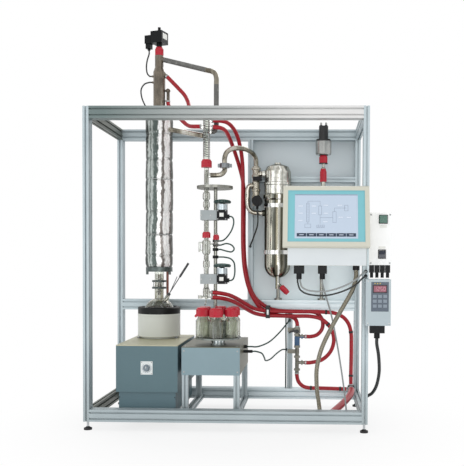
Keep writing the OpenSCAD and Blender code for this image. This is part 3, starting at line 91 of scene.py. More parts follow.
class Tree:
    """A material's node tree with short names for the nodes used here; it is put on the CAD nodes named."""

    def __init__(self, name, on=""):
        mat = M[name] = bpy.data.materials.new(name)
        mat.use_nodes = True
        self.nt = mat.node_tree
        self.nt.nodes.clear()
        self.bsdf = node(self.nt, "BsdfPrincipled")
        self.out = node(self.nt, "OutputMaterial", {0: self.bsdf.outputs[0]})
        self.coord = self.node("TexCoord", out="Object")
        for n in on.split():
            mats = nodes[n].data.materials
            mats.clear()
            mats.append(mat)

    def node(self, kind, inputs=None, out=0, **settings):
        """A new node's output."""
        return node(self.nt, kind, inputs, **settings).outputs[out]

    def place(self, stretch):
        """Coordinates scaled along z, or along each axis."""
        if not isinstance(stretch, tuple):
            stretch = (1, 1, stretch)
        return self.node("Mapping", {"Scale": stretch, "Vector": self.coord})

    def noise(self, scale, detail=3.0, rough=0.55, stretch=1, distortion=0.0):
        return self.node("TexNoise", {"Scale": scale, "Detail": detail, "Roughness": rough,
            "Distortion": distortion, "Vector": self.place(stretch)}, "Fac")

    def span(self, fac, low, high, a=0.0, b=1.0):
        """From a to b as fac goes from low to high."""
        return self.node("MapRange", {"Value": fac, "From Min": low, "From Max": high, "To Min": a,
            "To Max": b})

    def math(self, op, a, b):
        return self.node("Math", {0: a, 1: b}, operation=op)

    times = partialmethod(math, "MULTIPLY")
    plus = partialmethod(math, "ADD")
    most = partialmethod(math, "MAXIMUM")

    def axis(self, name):
        return self.node("SeparateXYZ", {0: self.coord}, name)

    def over(self, axis, low, high, a=0.0, b=1.0):
        """From a to b as a coordinate in metres goes from low to high."""
        return self.span(self.axis(axis), low, high, a, b)

    def between(self, axis, low, high, soft=0.0004):
        """1 where a coordinate in metres lies between two values."""
        up = self.over(axis, low - soft, low + soft)
        return self.times(up, self.over(axis, high - soft, high + soft, 1.0, 0.0))

    def around(self, x, t):
        """The place around an upright axis: 0 at its left, 0.25 at its front, 0.5 at its right."""
        centre = at(x, t, 0)
        across = self.math("SUBTRACT", self.axis("X"), centre.x)
        deep = self.math("SUBTRACT", self.axis("Y"), centre.y)
        return self.plus(self.math("DIVIDE", self.math("ARCTAN2", deep, across), 2 * pi), 0.5)

    def facing(self, axis):
        """1 on faces that look along an axis."""
        normal = self.node("NewGeometry", out="Normal")
        return self.span(self.node("SeparateXYZ", {0: normal}, axis), 0.7, 0.9)

    def ramp(self, fac, stops):
        n = node(self.nt, "ValToRGB", {0: fac})
        marks = n.color_ramp.elements
        while len(marks) < len(stops):
            marks.new(1.0)
        for mark, (place, rgb) in zip(marks, stops):
            mark.position = place
            mark.color = (*lin(*rgb), 1)
        return n.outputs[0]

    def mix(self, fac, a, b):
        """A colour between a and b."""
        return self.node("Mix", {"Factor": fac, 6: a, 7: b}, 2, data_type="RGBA")

    def blend(self, fac, a, b):
        """A number between a and b."""
        return self.node("Mix", {"Factor": fac, 2: a, 3: b}, data_type="FLOAT")

    def mottle(self, scale, detail, dark, pale, stretch=1):
        """Two written colours mixed by noise."""
        return self.mix(self.noise(scale, detail, stretch=stretch), lin(*dark), lin(*pale))

    def gloss(self, scale, low, high, stretch=1):
        """An uneven roughness."""
        return self.span(self.noise(scale, stretch=stretch), 0.3, 0.7, low, high)

    def set(self, **values):
        for k, v in values.items():
            feed(self.nt, self.bsdf.inputs[k.replace("_", " ")], v)

    def zoned(self, zone, colours, metals, roughs):
        """Two finishes on one piece: the second of each pair where zone is 1."""
        self.set(Base_Color=self.mix(zone, *colours), Metallic=self.blend(zone, *metals),
            Roughness=self.blend(zone, *roughs))

    def bump(self, height, strength, distance):
        self.set(Normal=self.node("Bump", {"Strength": strength, "Distance": distance, "Height": height}))

    def grain(self, scale, strength, distance=0.0006, detail=3, stretch=1):
        """A fine unevenness of the surface."""
        self.bump(self.noise(scale, detail, stretch=stretch), strength, distance)


GLOSS_SPREAD = 0.08


def plain(name, on, rgb, rough, vary=0.08, scale=9, grain=420, depth=0.06, metal=0, stretch=1, **more):
    """A surface with slow colour drift, uneven gloss and a fine grain."""
    t = Tree(name, on)
    t.set(Base_Color=t.mix(t.noise(scale, 4), shade(rgb, 1 - vary), shade(rgb, 1 + vary)),
        Roughness=t.gloss(scale * 4, max(0.02, rough - GLOSS_SPREAD), rough + GLOSS_SPREAD, stretch),
        Metallic=metal, **more)
    t.grain(grain, depth, detail=2, stretch=stretch)


# painted shade and painted light across the frame's front top beam, from its left end to its right end
SHADED_PROFILE, LIT_PROFILE = (108, 122, 121), (211, 211, 210)


def extrusion(name, on, stretch, dirt, painted_light=False, shaded_left=False):
    """Anodised profile: drawing lines along its length, and a little dirt near the floor.

    With painted_light, painted shade deepens it towards the left at the frame's front top, and painted light makes it
    pale at the right of its back, low down; with shaded_left, painted shade makes its left side olive."""
    t = Tree(name, on)
    lines = t.noise(260, 2, stretch=stretch)
    clouds = t.noise(5, 4)
    base = t.mix(clouds, lin(164, 177, 182), lin(190, 202, 206))
    base = t.mix(t.over("Z", 0.05, 0.35, dirt, 0.0), base, lin(138, 145, 145))
    if painted_light:
        # painted shade: the front top beam darkens towards the left
        front = t.times(t.over("Z", 1.45, 1.46), t.over("Y", -0.2, -0.1, 1.0, 0.0))
        base = t.mix(front, base, t.mix(t.over("X", -0.65, 0.35), lin(*SHADED_PROFILE), lin(*LIT_PROFILE)))
        # painted light: the profiles at the back, low down, grow paler towards the right
        rear = t.times(t.over("Y", 0.1, 0.2), t.over("Z", 0.7, 0.8, 1.0, 0.0))
        base = t.mix(t.times(rear, t.over("X", -0.1, 0.3, 0.0, 0.9)), base, lin(226, 238, 242))
    if shaded_left:
        # painted shade: the left side beams and rails are darkened to olive
        side = t.times(t.over("X", -0.6, -0.55, 1.0, 0.0), t.span(clouds, 0.2, 0.8, 0.8, 1.0))
        base = t.mix(side, base, lin(74, 78, 64))
    t.set(Base_Color=base, Metallic=0.4, Roughness=t.span(lines, 0.3, 0.7, 0.34, 0.5))
    t.bump(lines, 0.12, 0.0004)


extrusion("profile_upright",
    "front_left_post front_right_post rear_left_post rear_right_post rear_uprights table_legs", 0.02, 0.5)
extrusion("profile_across", "front_top_beam front_bottom_beam rear_top_beam rear_middle_rails rear_bottom_beam",
    (0.02, 1, 1), 0.3, painted_light=True)
extrusion("profile_deep", "top_side_beams bottom_depth_rails", (1, 0.02, 1), 0.4, shaded_left=True)

# Levelling feet: steel spindles on rubber pads
t = Tree("levelling_foot", "levelling_feet")
pad = t.over("Z", 0.0168, 0.0174, 1.0, 0.0)
rubber = t.mottle(90, 3, (20, 20, 22), (34, 34, 36))
t.zoned(pad, (lin(185, 188, 190), rubber), (1.0, 0.0), (0.28, 0.62))
t.grain(500, 0.08)


def sheet_box(name, on, paint, top, top_z, bare_side=0.0):
    """Painted sheet, with a bare ground-steel plate as its top and perhaps a bare right side."""
    t = Tree(name, on)
    up = t.times(t.facing("Z"), t.over("Z", top_z - 0.001, top_z - 0.0005))
    edge = t.over("Z", top_z - 0.0042, top_z - 0.0038)
    bare = t.most(t.most(up, edge), t.times(t.facing("X"), bare_side))
    coat = t.mix(t.noise(4, 4), shade(paint, 0.9), shade(paint, 1.08))
    worn = t.span(t.noise(30, 5, 0.7), 0.66, 0.72)
    coat = t.mix(t.times(worn, 0.35), coat, shade(paint, 1.35))
    steel = t.mix(t.noise(120, stretch=(0.06, 1, 1)), shade(top, 0.86), shade(top, 1.1))
    t.zoned(bare, (coat, steel), (0.0, 0.35), (t.gloss(60, 0.42, 0.56), 0.42))
    t.grain(900, 0.1, 0.0005, 2)


sheet_box("heater_housing", "lift_housing", (86, 112, 119), (184, 181, 154), 0.415)
sheet_box("receiver_table", "receiver_table", (130, 153, 161), (96, 95, 76), 0.409, 1.0)

# Wall sheet: lacquered, with painted light making it paler towards its foot
t = Tree("wall_panel", "rear_panels")
tone = t.mix(t.over("Z", 0.617, 1.55), lin(240, 252, 255), lin(196, 206, 210))
t.set(Base_Color=t.mix(t.span(t.noise(2.2, 4), 0.3, 0.7, 0.0, 0.2), tone, lin(204, 217, 226)),
    Roughness=t.gloss(8.8, 0.32, 0.48))
t.grain(700, 0.06, detail=2)

# Plain ones: nodes, colour, roughness, colour spread and its scale, grain and its depth
plain("heater_plinth", "lift_plinth", (86, 112, 120), 0.5, 0.1, 4, 900, 0.1)
plain("armoured_conduit", "", (140, 135, 120), 0.28, 0.12, 30, 500, 0.1, metal=0.8)
plain("ground_steel", "lift_guide_rods reflux_plunger", (196, 196, 194), 0.24, 0.07, 9, 600, 0.05, metal=1.0,
    stretch=0.05)
plain("stand_steel", "stand_rods", (140, 140, 133), 0.26, 0.28, 16, 600, 0.05, metal=0.85, stretch=0.1,
    Specular_Tint=(0.35, 0.35, 0.33))
plain("mantle_enamel", "mantle_shell", (204, 207, 199), 0.46, 0.05, 9, 300, 0.1, stretch=(0.1, 0.1, 1))
plain("black_collar", "mantle_collar", (22, 24, 23), 0.42, 0.25, 9, 600, 0.2, Specular_IOR_Level=0.2)
plain("dial_plate", "heat_dial_plate", (222, 227, 226), 0.4, 0.03)
plain("grey_plastic", "heat_knob", (120, 132, 140), 0.42, 0.06, 9, 900, 0.12)
plain("coil_black", "solenoid_coils", (13, 15, 17), 0.38, 0.2, 30, 800, 0.18, Specular_IOR_Level=0.2)
plain("carousel_metal", "carousel_plate", (124, 130, 126), 0.3, 0.06, 9, 500, 0.06, metal=0.6)
plain("console_paint", "console_housing", (203, 202, 188), 0.4, 0.03, 3, 1100, 0.12)
plain("console_box", "", (208, 214, 217), 0.42, 0.03, 3, 1100, 0.12)
plain("teal_front", "console_screen", (122, 188, 197), 0.36, 0.03, 4, 1300, 0.06)
plain("white_box", "power_box", (250, 251, 251), 0.42, 0.015, 4, 1200, 0.1)
plain("green_lens", "start_button", (24, 92, 74), 0.22, 0.12, 60, 900, 0.04)
plain("rocker_black", "main_switch", (30, 38, 54), 0.26, 0.12, 60, 900, 0.06)
plain("controller_case", "heater_controller", (172, 185, 190), 0.42, 0.03, 6, 1100, 0.14)
plain("plug_black", "cable_plugs", (14, 16, 18), 0.4, 0.2, 40, 800, 0.2, Specular_IOR_Level=0.2)
plain("dark_casting", "", (74, 82, 80), 0.38, 0.25, 40, 700, 0.15, metal=0.5)
plain("lever_black", "water_lever", (30, 31, 34), 0.36, 0.2, 40)
plain("glass_cloth", "mantle_liner", (214, 210, 196), 0.85, 0.08, 60, 260, 0.7)
plain("wire_packing", "column_packing", (180, 180, 178), 0.35, 0.3, 160, 700, 0.8, metal=0.9)
plain("black_trim", "", (18, 19, 21), 0.45, 0.2, 40)
plain("screw_steel", "", (176, 178, 178), 0.3, 0.1, 80, metal=1.0)
plain("blank_label", "", (232, 233, 228), 0.45, 0.03, 30)
plain("grey_cable", "cables", (146, 150, 150), 0.45, 0.08, 40)
plain("black_cable", "", (28, 32, 32), 0.42, 0.18, 40)
plain("green_cable", "", (30, 66, 58), 0.42, 0.15, 40)
plain("screen_face", "", (190, 204, 221), 0.2, 0.02, 5, 1500, 0.02)
plain("screen_lines", "", (112, 124, 146), 0.3, 0.05)
plain("screen_fields", "", (208, 218, 232), 0.3, 0.02)
plain("screen_keys", "", (42, 56, 76), 0.3, 0.08, 60)
plain("keypad", "", (80, 92, 105), 0.42, 0.05, 30)
plain("keypad_key", "", (124, 136, 148), 0.38, 0.05, 60)
plain("status_lamp", "", (222, 186, 60), 0.3, 0.05, 80)

# Clamps: dull castings, and the polished bands of the cold trap
t = Tree("pipe_clamps", "pipe_clamps")
bands = t.between("X", 0.09, 0.27)
cast = t.mottle(25, 4, (104, 108, 111), (146, 150, 153))
cast = t.mix(t.between("Z", 0.74, 0.81), cast, t.mottle(50, 4, (62, 72, 70), (112, 120, 118)))
steel = t.mottle(40, 3, (196, 197, 195), (226, 226, 223))
t.zoned(bands, (cast, steel), (0.8, 1.0), (t.gloss(80, 0.3, 0.44), 0.2))
t.grain(500, 0.15)

# Valves: cast blocks, with the turned barrels of their handwheels
t = Tree("valve_blocks", "valve_blocks")
barrel = t.most(t.between("Z", 1.1108, 1.1415), t.between("Z", 0.7728, 0.8035))
turned = t.mottle(60, 3, (178, 188, 194), (206, 214, 218), (0.1, 0.1, 1))
cast = t.mottle(20, 4, (140, 148, 150), (166, 172, 173))
t.zoned(barrel, (cast, turned), (0.35, 0.6), (t.gloss(80, 0.36, 0.5), 0.3))
t.grain(500, 0.1)

# Handwheels: dark green mouldings, with painted light making their upper faces paler
t = Tree("handwheel", "upper_valve_wheel lower_valve_wheel")
side = t.mottle(30, 3, (18, 42, 40), (30, 58, 54))
t.set(Base_Color=t.mix(t.facing("Z"), side, t.mottle(90, 4, (50, 86, 80), (76, 112, 104))),
    Roughness=t.gloss(70, 0.26, 0.42))
t.grain(700, 0.1, 0.0005)

for name, scale, dark, pale, rough in (
    ("display_red", 120, (116, 40, 62), (138, 56, 80), 0.22),
    ("display_digits", 300, (200, 132, 148), (216, 156, 168), 0.3),
):
    t = Tree(name)
    t.set(Base_Color=t.mottle(scale, 3, dark, pale), Roughness=rough)

# Screw caps
t = Tree("cap_red", "red_screw_caps receiver_caps trap_drain_knob")
t.set(Base_Color=t.mottle(40, 3, (164, 12, 34), (196, 24, 50)), Roughness=t.gloss(120, 0.24, 0.38),
    Specular_IOR_Level=0.4, Coat_Weight=0.1)
t.grain(700, 0.06, 0.0005, 2)

# Silicone hose: glossy, dulled by dust
t = Tree("hose_red", "red_hoses")
dust = t.span(t.noise(26, 5, 0.65), 0.52, 0.8)
t.set(Base_Color=t.mix(t.times(dust, 0.14), t.mottle(14, 3, (146, 16, 30), (178, 28, 42)), lin(190, 88, 90)),
    Roughness=t.gloss(60, 0.26, 0.42), Specular_IOR_Level=0.32, Coat_Weight=0.08)
t.grain(340, 0.08, detail=2)


def glass(name, on, tint, body=0.0, wave=0.05, fine=34):
    """Borosilicate glass, with faint films of condensate and drips."""
    t = Tree(name, on)
    film = t.span(t.noise(fine, 4, 0.6, 0.22), 0.45, 0.62)
    t.set(Base_Color=t.mix(film, lin(*tint), lin(240, 243, 240)), Roughness=t.span(film, 0.0, 1.0, 0.02, 0.12),
        IOR=1.47, Transmission_Weight=t.span(film, 0.0, 1.0, 1.0 - body, 1.0 - 2 * body))
    t.grain(46, wave, 0.002, 2, 0.25)


glass("clear_glass", "column_tube product_condenser", (238, 240, 234))
glass("line_glass", "product_line", (178, 179, 170), 0.06, 0.2, 60)
glass("flask_glass", "distillation_flask", (176, 173, 157), 0.04, 0.25, 40)
glass("bottle_glass", "receiver_bottles", (208, 210, 197), 0.03, 0.4, 64)

# Head: a silvered vacuum jacket behind glass, mottled where the silver has aged
t = Tree("silvered_glass", "column_head")
aged = t.span(t.noise(24, 5, 0.65, 0.45), 0.36, 0.66)
streak = t.span(t.noise(40, 4, 0.6, 0.1), 0.56, 0.7)
base = t.mix(aged, lin(72, 64, 52), lin(128, 117, 101))
t.set(Base_Color=t.mix(t.times(streak, 0.45), base, lin(190, 184, 170)), Metallic=0.45,
    Roughness=t.gloss(50, 0.18, 0.32), Coat_Weight=0.6)
t.grain(26, 0.14, 0.003, stretch=0.3)

# Bent tubes: polished stainless, with long uneven bands where it has been worked
t = Tree("bent_tube", "vacuum_line")
buff = t.noise(140, stretch=(0.2, 0.2, 1))
bands = t.noise(13, 4, 0.6, 0.12)
base = t.mix(t.span(bands, 0.36, 0.5), lin(104, 98, 86), lin(166, 160, 146))
t.set(Base_Color=t.mix(t.span(bands, 0.5, 0.64), base, lin(206, 203, 194)), Metallic=0.9,
    Roughness=t.span(buff, 0.3, 0.7, 0.1, 0.2))
t.bump(buff, 0.03, 0.0005)

# Vapour line: a grey lagged tube, matte, rubbed brighter in places
t = Tree("vapour_tube", "vapour_line")
rubbed = t.span(t.noise(44, 4), 0.56, 0.72)
base = t.mottle(18, 4, (86, 86, 84), (110, 110, 107))
t.set(Base_Color=t.mix(t.times(rubbed, 0.5), base, lin(158, 158, 153)), Metallic=0.2,
    Roughness=t.gloss(80, 0.38, 0.54))
t.grain(300, 0.2, 0.0008)


def stops(tones, bands):
    """Ramp stops from named tones and the places where each band begins and ends."""
    return [(place, tones[tone]) for tone, *places in bands for place in places]


def reflection_banded(name, on, x, t_mm, stops, rough, glints_above=None):
    """Bright metal around an upright axis: painted reflections in long light and dark bands side by side, which
    wander where it is uneven, and painted glints mottling it above a given height.
    """
    t = Tree(name, on)
    drift = t.span(t.noise(9, 4, 0.6, 0.35), 0.3, 0.7, -0.004, 0.004)
    if glints_above:
        mottle = t.noise(30, 3, 0.5, 0.8)
        top = t.over("Z", glints_above, glints_above + 0.006)
        drift = t.plus(drift, t.times(top, t.span(mottle, 0.3, 0.7, -0.03, 0.03)))
    streak = t.span(t.noise(60, 3, 0.6, 0.05), 0.45, 0.7)
    # painted reflections: the bands of the stops, around the axis
    base = t.ramp(t.plus(t.around(x, t_mm), drift), stops)
    base = t.mix(t.times(streak, 0.16), base, lin(206, 206, 200))
    if glints_above:
        # painted glints above the given height
        bright = t.times(top, t.span(mottle, 0.35, 0.6, 0.25, 0.75))
        base = t.mix(bright, base, lin(234, 234, 226))
    t.set(Base_Color=base, Metallic=0.85, Specular_Tint=(0.3, 0.3, 0.28),
        Roughness=t.gloss(40, rough - 0.06, rough + 0.06, 0.2))
    fine = t.times(t.noise(110, 3, 0.6, 0.2), 0.35)
    t.bump(t.plus(t.noise(30, 4, 0.6, 0.3, 0.6), fine), 0.02, 0.004)


# painted reflections on the polished cold trap: dark, olive, pale and glint bands
TRAP_REFLECTIONS = stops(
    {"dark": (56, 57, 48), "olive": (108, 104, 88), "pale": (202, 199, 185), "glint": (249, 249, 244)},
    (("dark", 0.0, 0.09), ("pale", 0.115, 0.18), ("dark", 0.195, 0.22), ("olive", 0.24, 0.258),
        ("glint", 0.266, 0.281), ("olive", 0.295, 0.33), ("dark", 0.35, 0.385), ("pale", 0.41), ("olive", 0.46),
        ("pale", 0.56), ("olive", 0.63), ("pale", 0.72), ("olive", 0.8), ("pale", 0.9), ("dark", 1.0)),
)
reflection_banded("polished_trap", "cold_trap", *TRAP, TRAP_REFLECTIONS, 0.16, 1.21)
# painted reflections on the motor's turned steel: deep, mid and bright bands
CHROME_REFLECTIONS = stops(
    {"deep": (90, 102, 104), "mid": (126, 139, 143), "bright": (224, 230, 230)},
    (("deep", 0.0, 0.1), ("bright", 0.14), ("mid", 0.18), ("bright", 0.22), ("mid", 0.26), ("bright", 0.3),
        ("mid", 0.34), ("bright", 0.38), ("deep", 0.44), ("mid", 0.5), ("bright", 0.62), ("deep", 0.74),
        ("bright", 0.86), ("deep", 1.0)),
)
reflection_banded("turned_steel", "carousel_motor", *MOTOR, CHROME_REFLECTIONS, 0.2)

# painted reflections: light and dark bands around the column, in place of what the foil reflects
FOIL_REFLECTION_BANDS = stops(
    {"dark": (62, 67, 64), "green": (84, 95, 91), "warm": (116, 110, 106), "silver": (190, 197, 193),
        "white": (253, 253, 252)},
    (("dark", 0.0, 0.116), ("silver", 0.134, 0.15), ("green", 0.165), ("silver", 0.185), ("green", 0.214, 0.255),
        ("white", 0.268, 0.3), ("warm", 0.313, 0.336), ("white", 0.35, 0.418), ("warm", 0.434), ("dark", 0.48, 0.53),
        ("silver", 0.6), ("green", 0.68), ("white", 0.74), ("warm", 0.82), ("silver", 0.9), ("dark", 1.0)),
)
FOIL_TIES = (870, 985, 1112, 1287, 1398, 1530, 1624)

# Foil lagging: painted reflections in bands that wander as it creases, painted glints on its crinkles, and painted
# shade in short folds where wire ties it
t = Tree("foil_painted_light", "column_jacket")
drift = t.span(t.noise(10, 5, 0.65, 0.4), 0.3, 0.7, -0.022, 0.022)
jag = t.span(t.noise(55, 4, 0.7, 0.6), 0.3, 0.7, -0.013, 0.013)
base = t.ramp(t.plus(t.around(*COLUMN), t.plus(drift, jag)), FOIL_REFLECTION_BANDS)
# painted glints: small pale spots on the crinkles
glint_cells = t.node("TexVoronoi", {"Scale": 70, "Vector": t.place(0.5)}, "Distance", feature="F1")
base = t.mix(t.span(glint_cells, 0.1, 0.3, 0.3, 0.0), base, lin(236, 238, 236))
tied = 0.0
for z in FOIL_TIES:
    tied = t.most(tied, t.between("Z", z / 1000 - 0.007, z / 1000 + 0.007, 0.004))
# painted shade: dark folds at the wire ties
tie_fold_shade = t.span(t.noise(34, 3, 0.6, 1.6), 0.5, 0.6, 0.0, 0.75)
t.set(Base_Color=t.mix(t.times(tied, tie_fold_shade), base, lin(72, 80, 77)), Metallic=0.42,
    Specular_Tint=(0.8, 0.8, 0.78), Roughness=t.gloss(40, 0.2, 0.34, 0.2))
fine = t.times(t.noise(120, 3, 0.6, 0.35), 0.4)
t.bump(t.plus(t.noise(36, 4, 0.65, 0.45, 0.8), fine), 0.36, 0.005)

# Sensor: a black head and rim on a steel body, with glass below
t = Tree("sensor_body", "sensor_vessel")
dark = t.most(t.between("Z", 1.525, 1.6), t.between("Z", 1.5115, 1.5245))
body = t.mottle(30, 4, (150, 152, 150), (188, 189, 186), 0.1)
body = t.mix(t.over("Z", 1.436, 1.437, 1.0, 0.0), body, lin(176, 176, 168))
t.zoned(dark, (body, lin(26, 27, 29)), (0.75, 0.0), (0.26, 0.42))
t.grain(300, 0.06)

# Water manifold: nickel, with a blue valve body
t = Tree("nickel_manifold", "water_manifold")
blue = t.between("Z", 0.362, 0.4125)
metal, enamel = t.mottle(60, 3, (92, 91, 83), (142, 140, 130)), t.mottle(50, 3, (36, 74, 114), (54, 96, 136))
t.zoned(blue, (metal, enamel), (0.75, 0.0), (0.3, 0.4))
t.grain(400, 0.08)

# Black probes, with the red-brown tube behind the flask's neck
t = Tree("flask_probes", "flask_probes")
black, brown = t.mottle(60, 3, (40, 42, 44), (64, 66, 68)), t.mottle(40, 3, (134, 74, 60), (164, 98, 80))
t.set(Base_Color=t.mix(t.over("Y", 0.2055, 0.2065), black, brown), Roughness=0.4)
t.grain(400, 0.08)

# Meshes


def circle(n):
    return [2 * pi * i / n for i in range(n)]


def band(low, high, n):
    """Faces between two rings of n points, which start at the given numbers."""
    return [[low + i, low + (i + 1) % n, high + (i + 1) % n, high + i] for i in range(n)]


def shift(x, y, z, axis="Z", turn=0):
    """A step, and a turn about an axis there."""
    return Matrix.Translation((x / 1000, y / 1000, z / 1000)) @ Matrix.Rotation(radians(turn), 4, axis)


def move(x, t, z, axis="Z", turn=0):
    """A place in the frame, and a turn about an axis there."""
    return shift(x - MID_X, t - MID_T, z, axis, turn)


def lined_up(p, d):
    """A place at p, with its z along d."""
    return Matrix.Translation(p) @ d.to_track_quat("Z", "Y").to_matrix().to_4x4()


def put(name, data):
    o = bpy.data.objects.new(name, data)
    bpy.context.collection.objects.link(o)
    return o


class Kit:
    """Collects the faces of a piece, each with the number of its material."""

    def __init__(self):
        self.v, self.f, self.m = [], [], []

    def add(self, verts, faces, mat=0, place=Matrix()):
        """Points in metres, and faces by their numbers."""
        n = len(self.v)
        self.v += [place @ Vector(p) for p in verts]
        self.f += [tuple(n + i for i in f) for f in faces]
        self.m += [mat] * len(faces)

    def box(self, size, mat=0, place=Matrix(), cut=0.6):
        """A box about its own middle, with every edge chamfered."""
        h = [s / 2000 for s in size]
        c = min(cut / 1000, *[x * 0.45 for x in h])
        # three points at each corner, one on each of its sides
        verts = [[s[j] * (h[j] if j == k else h[j] - c) for j in range(3)]
            for s in product((-1, 1), repeat=3) for k in range(3)]
        faces, step = [], (12, 6, 3)
        for k, a, b in ((0, 1, 2), (1, 0, 2), (2, 0, 1)):
            up, u, v = step[k], step[a], step[b]
            faces += [[n + i + k for i in (0, u, u + v, v)] for n in (0, up)]
            faces += [[i + a, i + up + a, i + up + b, i + b] for i in (0, v, u, u + v)]
        faces += [[n, n + 1, n + 2] for n in range(0, len(verts), 3)]
        self.add(verts, faces, mat, place)

    def lathe(self, profile, mat=0, place=Matrix(), seg=32):
        """Radius and height pairs turned about z; ends at radius 0 close themselves."""
        verts = [(r / 1000 * cos(a), r / 1000 * sin(a), z / 1000) for r, z in profile for a in circle(seg)]
        faces = []
        for j in range(len(profile) - 1):
            low, high = j * seg, (j + 1) * seg
            ring = band(low, high, seg)
            if profile[j][0] == 0:
                ring = [[low, c, d] for a, b, c, d in ring]
            elif profile[j + 1][0] == 0:
                ring = [[a, b, high] for a, b, c, d in ring]
            faces += ring
        self.add(verts, faces, mat, place)

    def sweep(self, pts, radius, mat=0, sides=16, caps=True):
        """A tube along points in metres; radius is a number or a function of the ring's number."""
        last = len(pts) - 1
        dirs = [(pts[min(last, i + 1)] - pts[max(0, i - 1)]).normalized() for i in range(last + 1)]
        side = Vector((0, 0, 1)) if abs(dirs[0].z) < 0.8 else Vector((1, 0, 0))
        verts, faces = [], []
        for i, (p, d) in enumerate(zip(pts, dirs)):
            side = (side - d * side.dot(d)).normalized()
            other = d.cross(side)
            r = (radius(i) if callable(radius) else radius) / 1000
            verts += [p + r * (cos(a) * side + sin(a) * other) for a in circle(sides)]
        for i in range(last):
            faces += band(i * sides, (i + 1) * sides, sides)
        if caps:
            faces.append(list(reversed(range(sides))))
            faces.append([last * sides + k for k in range(sides)])
        self.add(verts, faces, mat)

    def screws(self, xs, ts, zs, head, mat=0, seg=16, upright=False):
        """Screw heads wherever the places cross, facing front or upright.

        The head is its height, the heights of its crown's rim and of its edge, and their radii."""
        top, crown_z, edge_z, crown, edge = head
        for x, t, z in product(xs, ts, zs):
            place = move(x, t, z, "X", 0 if upright else 90)
            self.lathe([(0, top), (crown, crown_z), (edge, edge_z), (edge, 0)], mat, place, seg)

    def build(self, name, body, mats, slot, smooth=35.0, hide=()):
        me = bpy.data.meshes.new(name)
        me.from_pydata([tuple(v) for v in self.v], [], self.f)
        for m in mats:
            me.materials.append(M[m])
        for p, i in zip(me.polygons, self.m):
            p.material_index = i
            p.use_smooth = True
        me.validate()
        me.set_sharp_from_angle(angle=radians(smooth))
        o = put(name, me)
        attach(o, body)
        if hide:
            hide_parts(*hide)


def along(p, steps=10):
    """A smooth curve through points given in the frame's places."""
    q = [at(*a) for a in p]
    out = []
    for i in range(len(q) - 1):
        b, c = q[i], q[i + 1]
        a = q[i - 1] if i else 2 * b - c
        d = q[i + 2] if i + 2 < len(q) else 2 * c - b
        for s in range(steps):
            u = s / steps
            bend = (2 * a - 5 * b + 4 * c - d) * u * u + (3 * b - a - 3 * c + d) * u**3
            out.append(0.5 * (2 * b + (c - a) * u + bend))
    out.append(q[-1])
    return out


def port(x, t, z, turn, dip, reach):
    """A place at some reach from a point, turned about the upright and dipping."""
    a, d = radians(turn), radians(dip)
    return (x + reach * cos(d) * cos(a), t + reach * cos(d) * sin(a), z - reach * sin(d))


def turn_to(x0, t0, x1, t1):
    return degrees(atan2(t1 - t0, x1 - x0))


# Hoses and cables, along the same routes as their solids

NECK_Z = 766
VAPOUR_Z, VAPOUR_DIP = 1954, 17
VAPOUR_TURN = turn_to(*COLUMN, *RISER)
ARM_TURN = turn_to(*LINE, *RISER)
TAKEOFF_TURN = turn_to(*LINE, *COLUMN)
COIL_TURN = -19
head_port = partial(port, *COLUMN, 1897, -8, 44)
vapour_port = partial(port, *COLUMN, VAPOUR_Z, VAPOUR_TURN, VAPOUR_DIP)
arm_port = partial(port, *LINE, 1530, ARM_TURN, 0)
takeoff_port = partial(port, *LINE, 1500, TAKEOFF_TURN, -13)

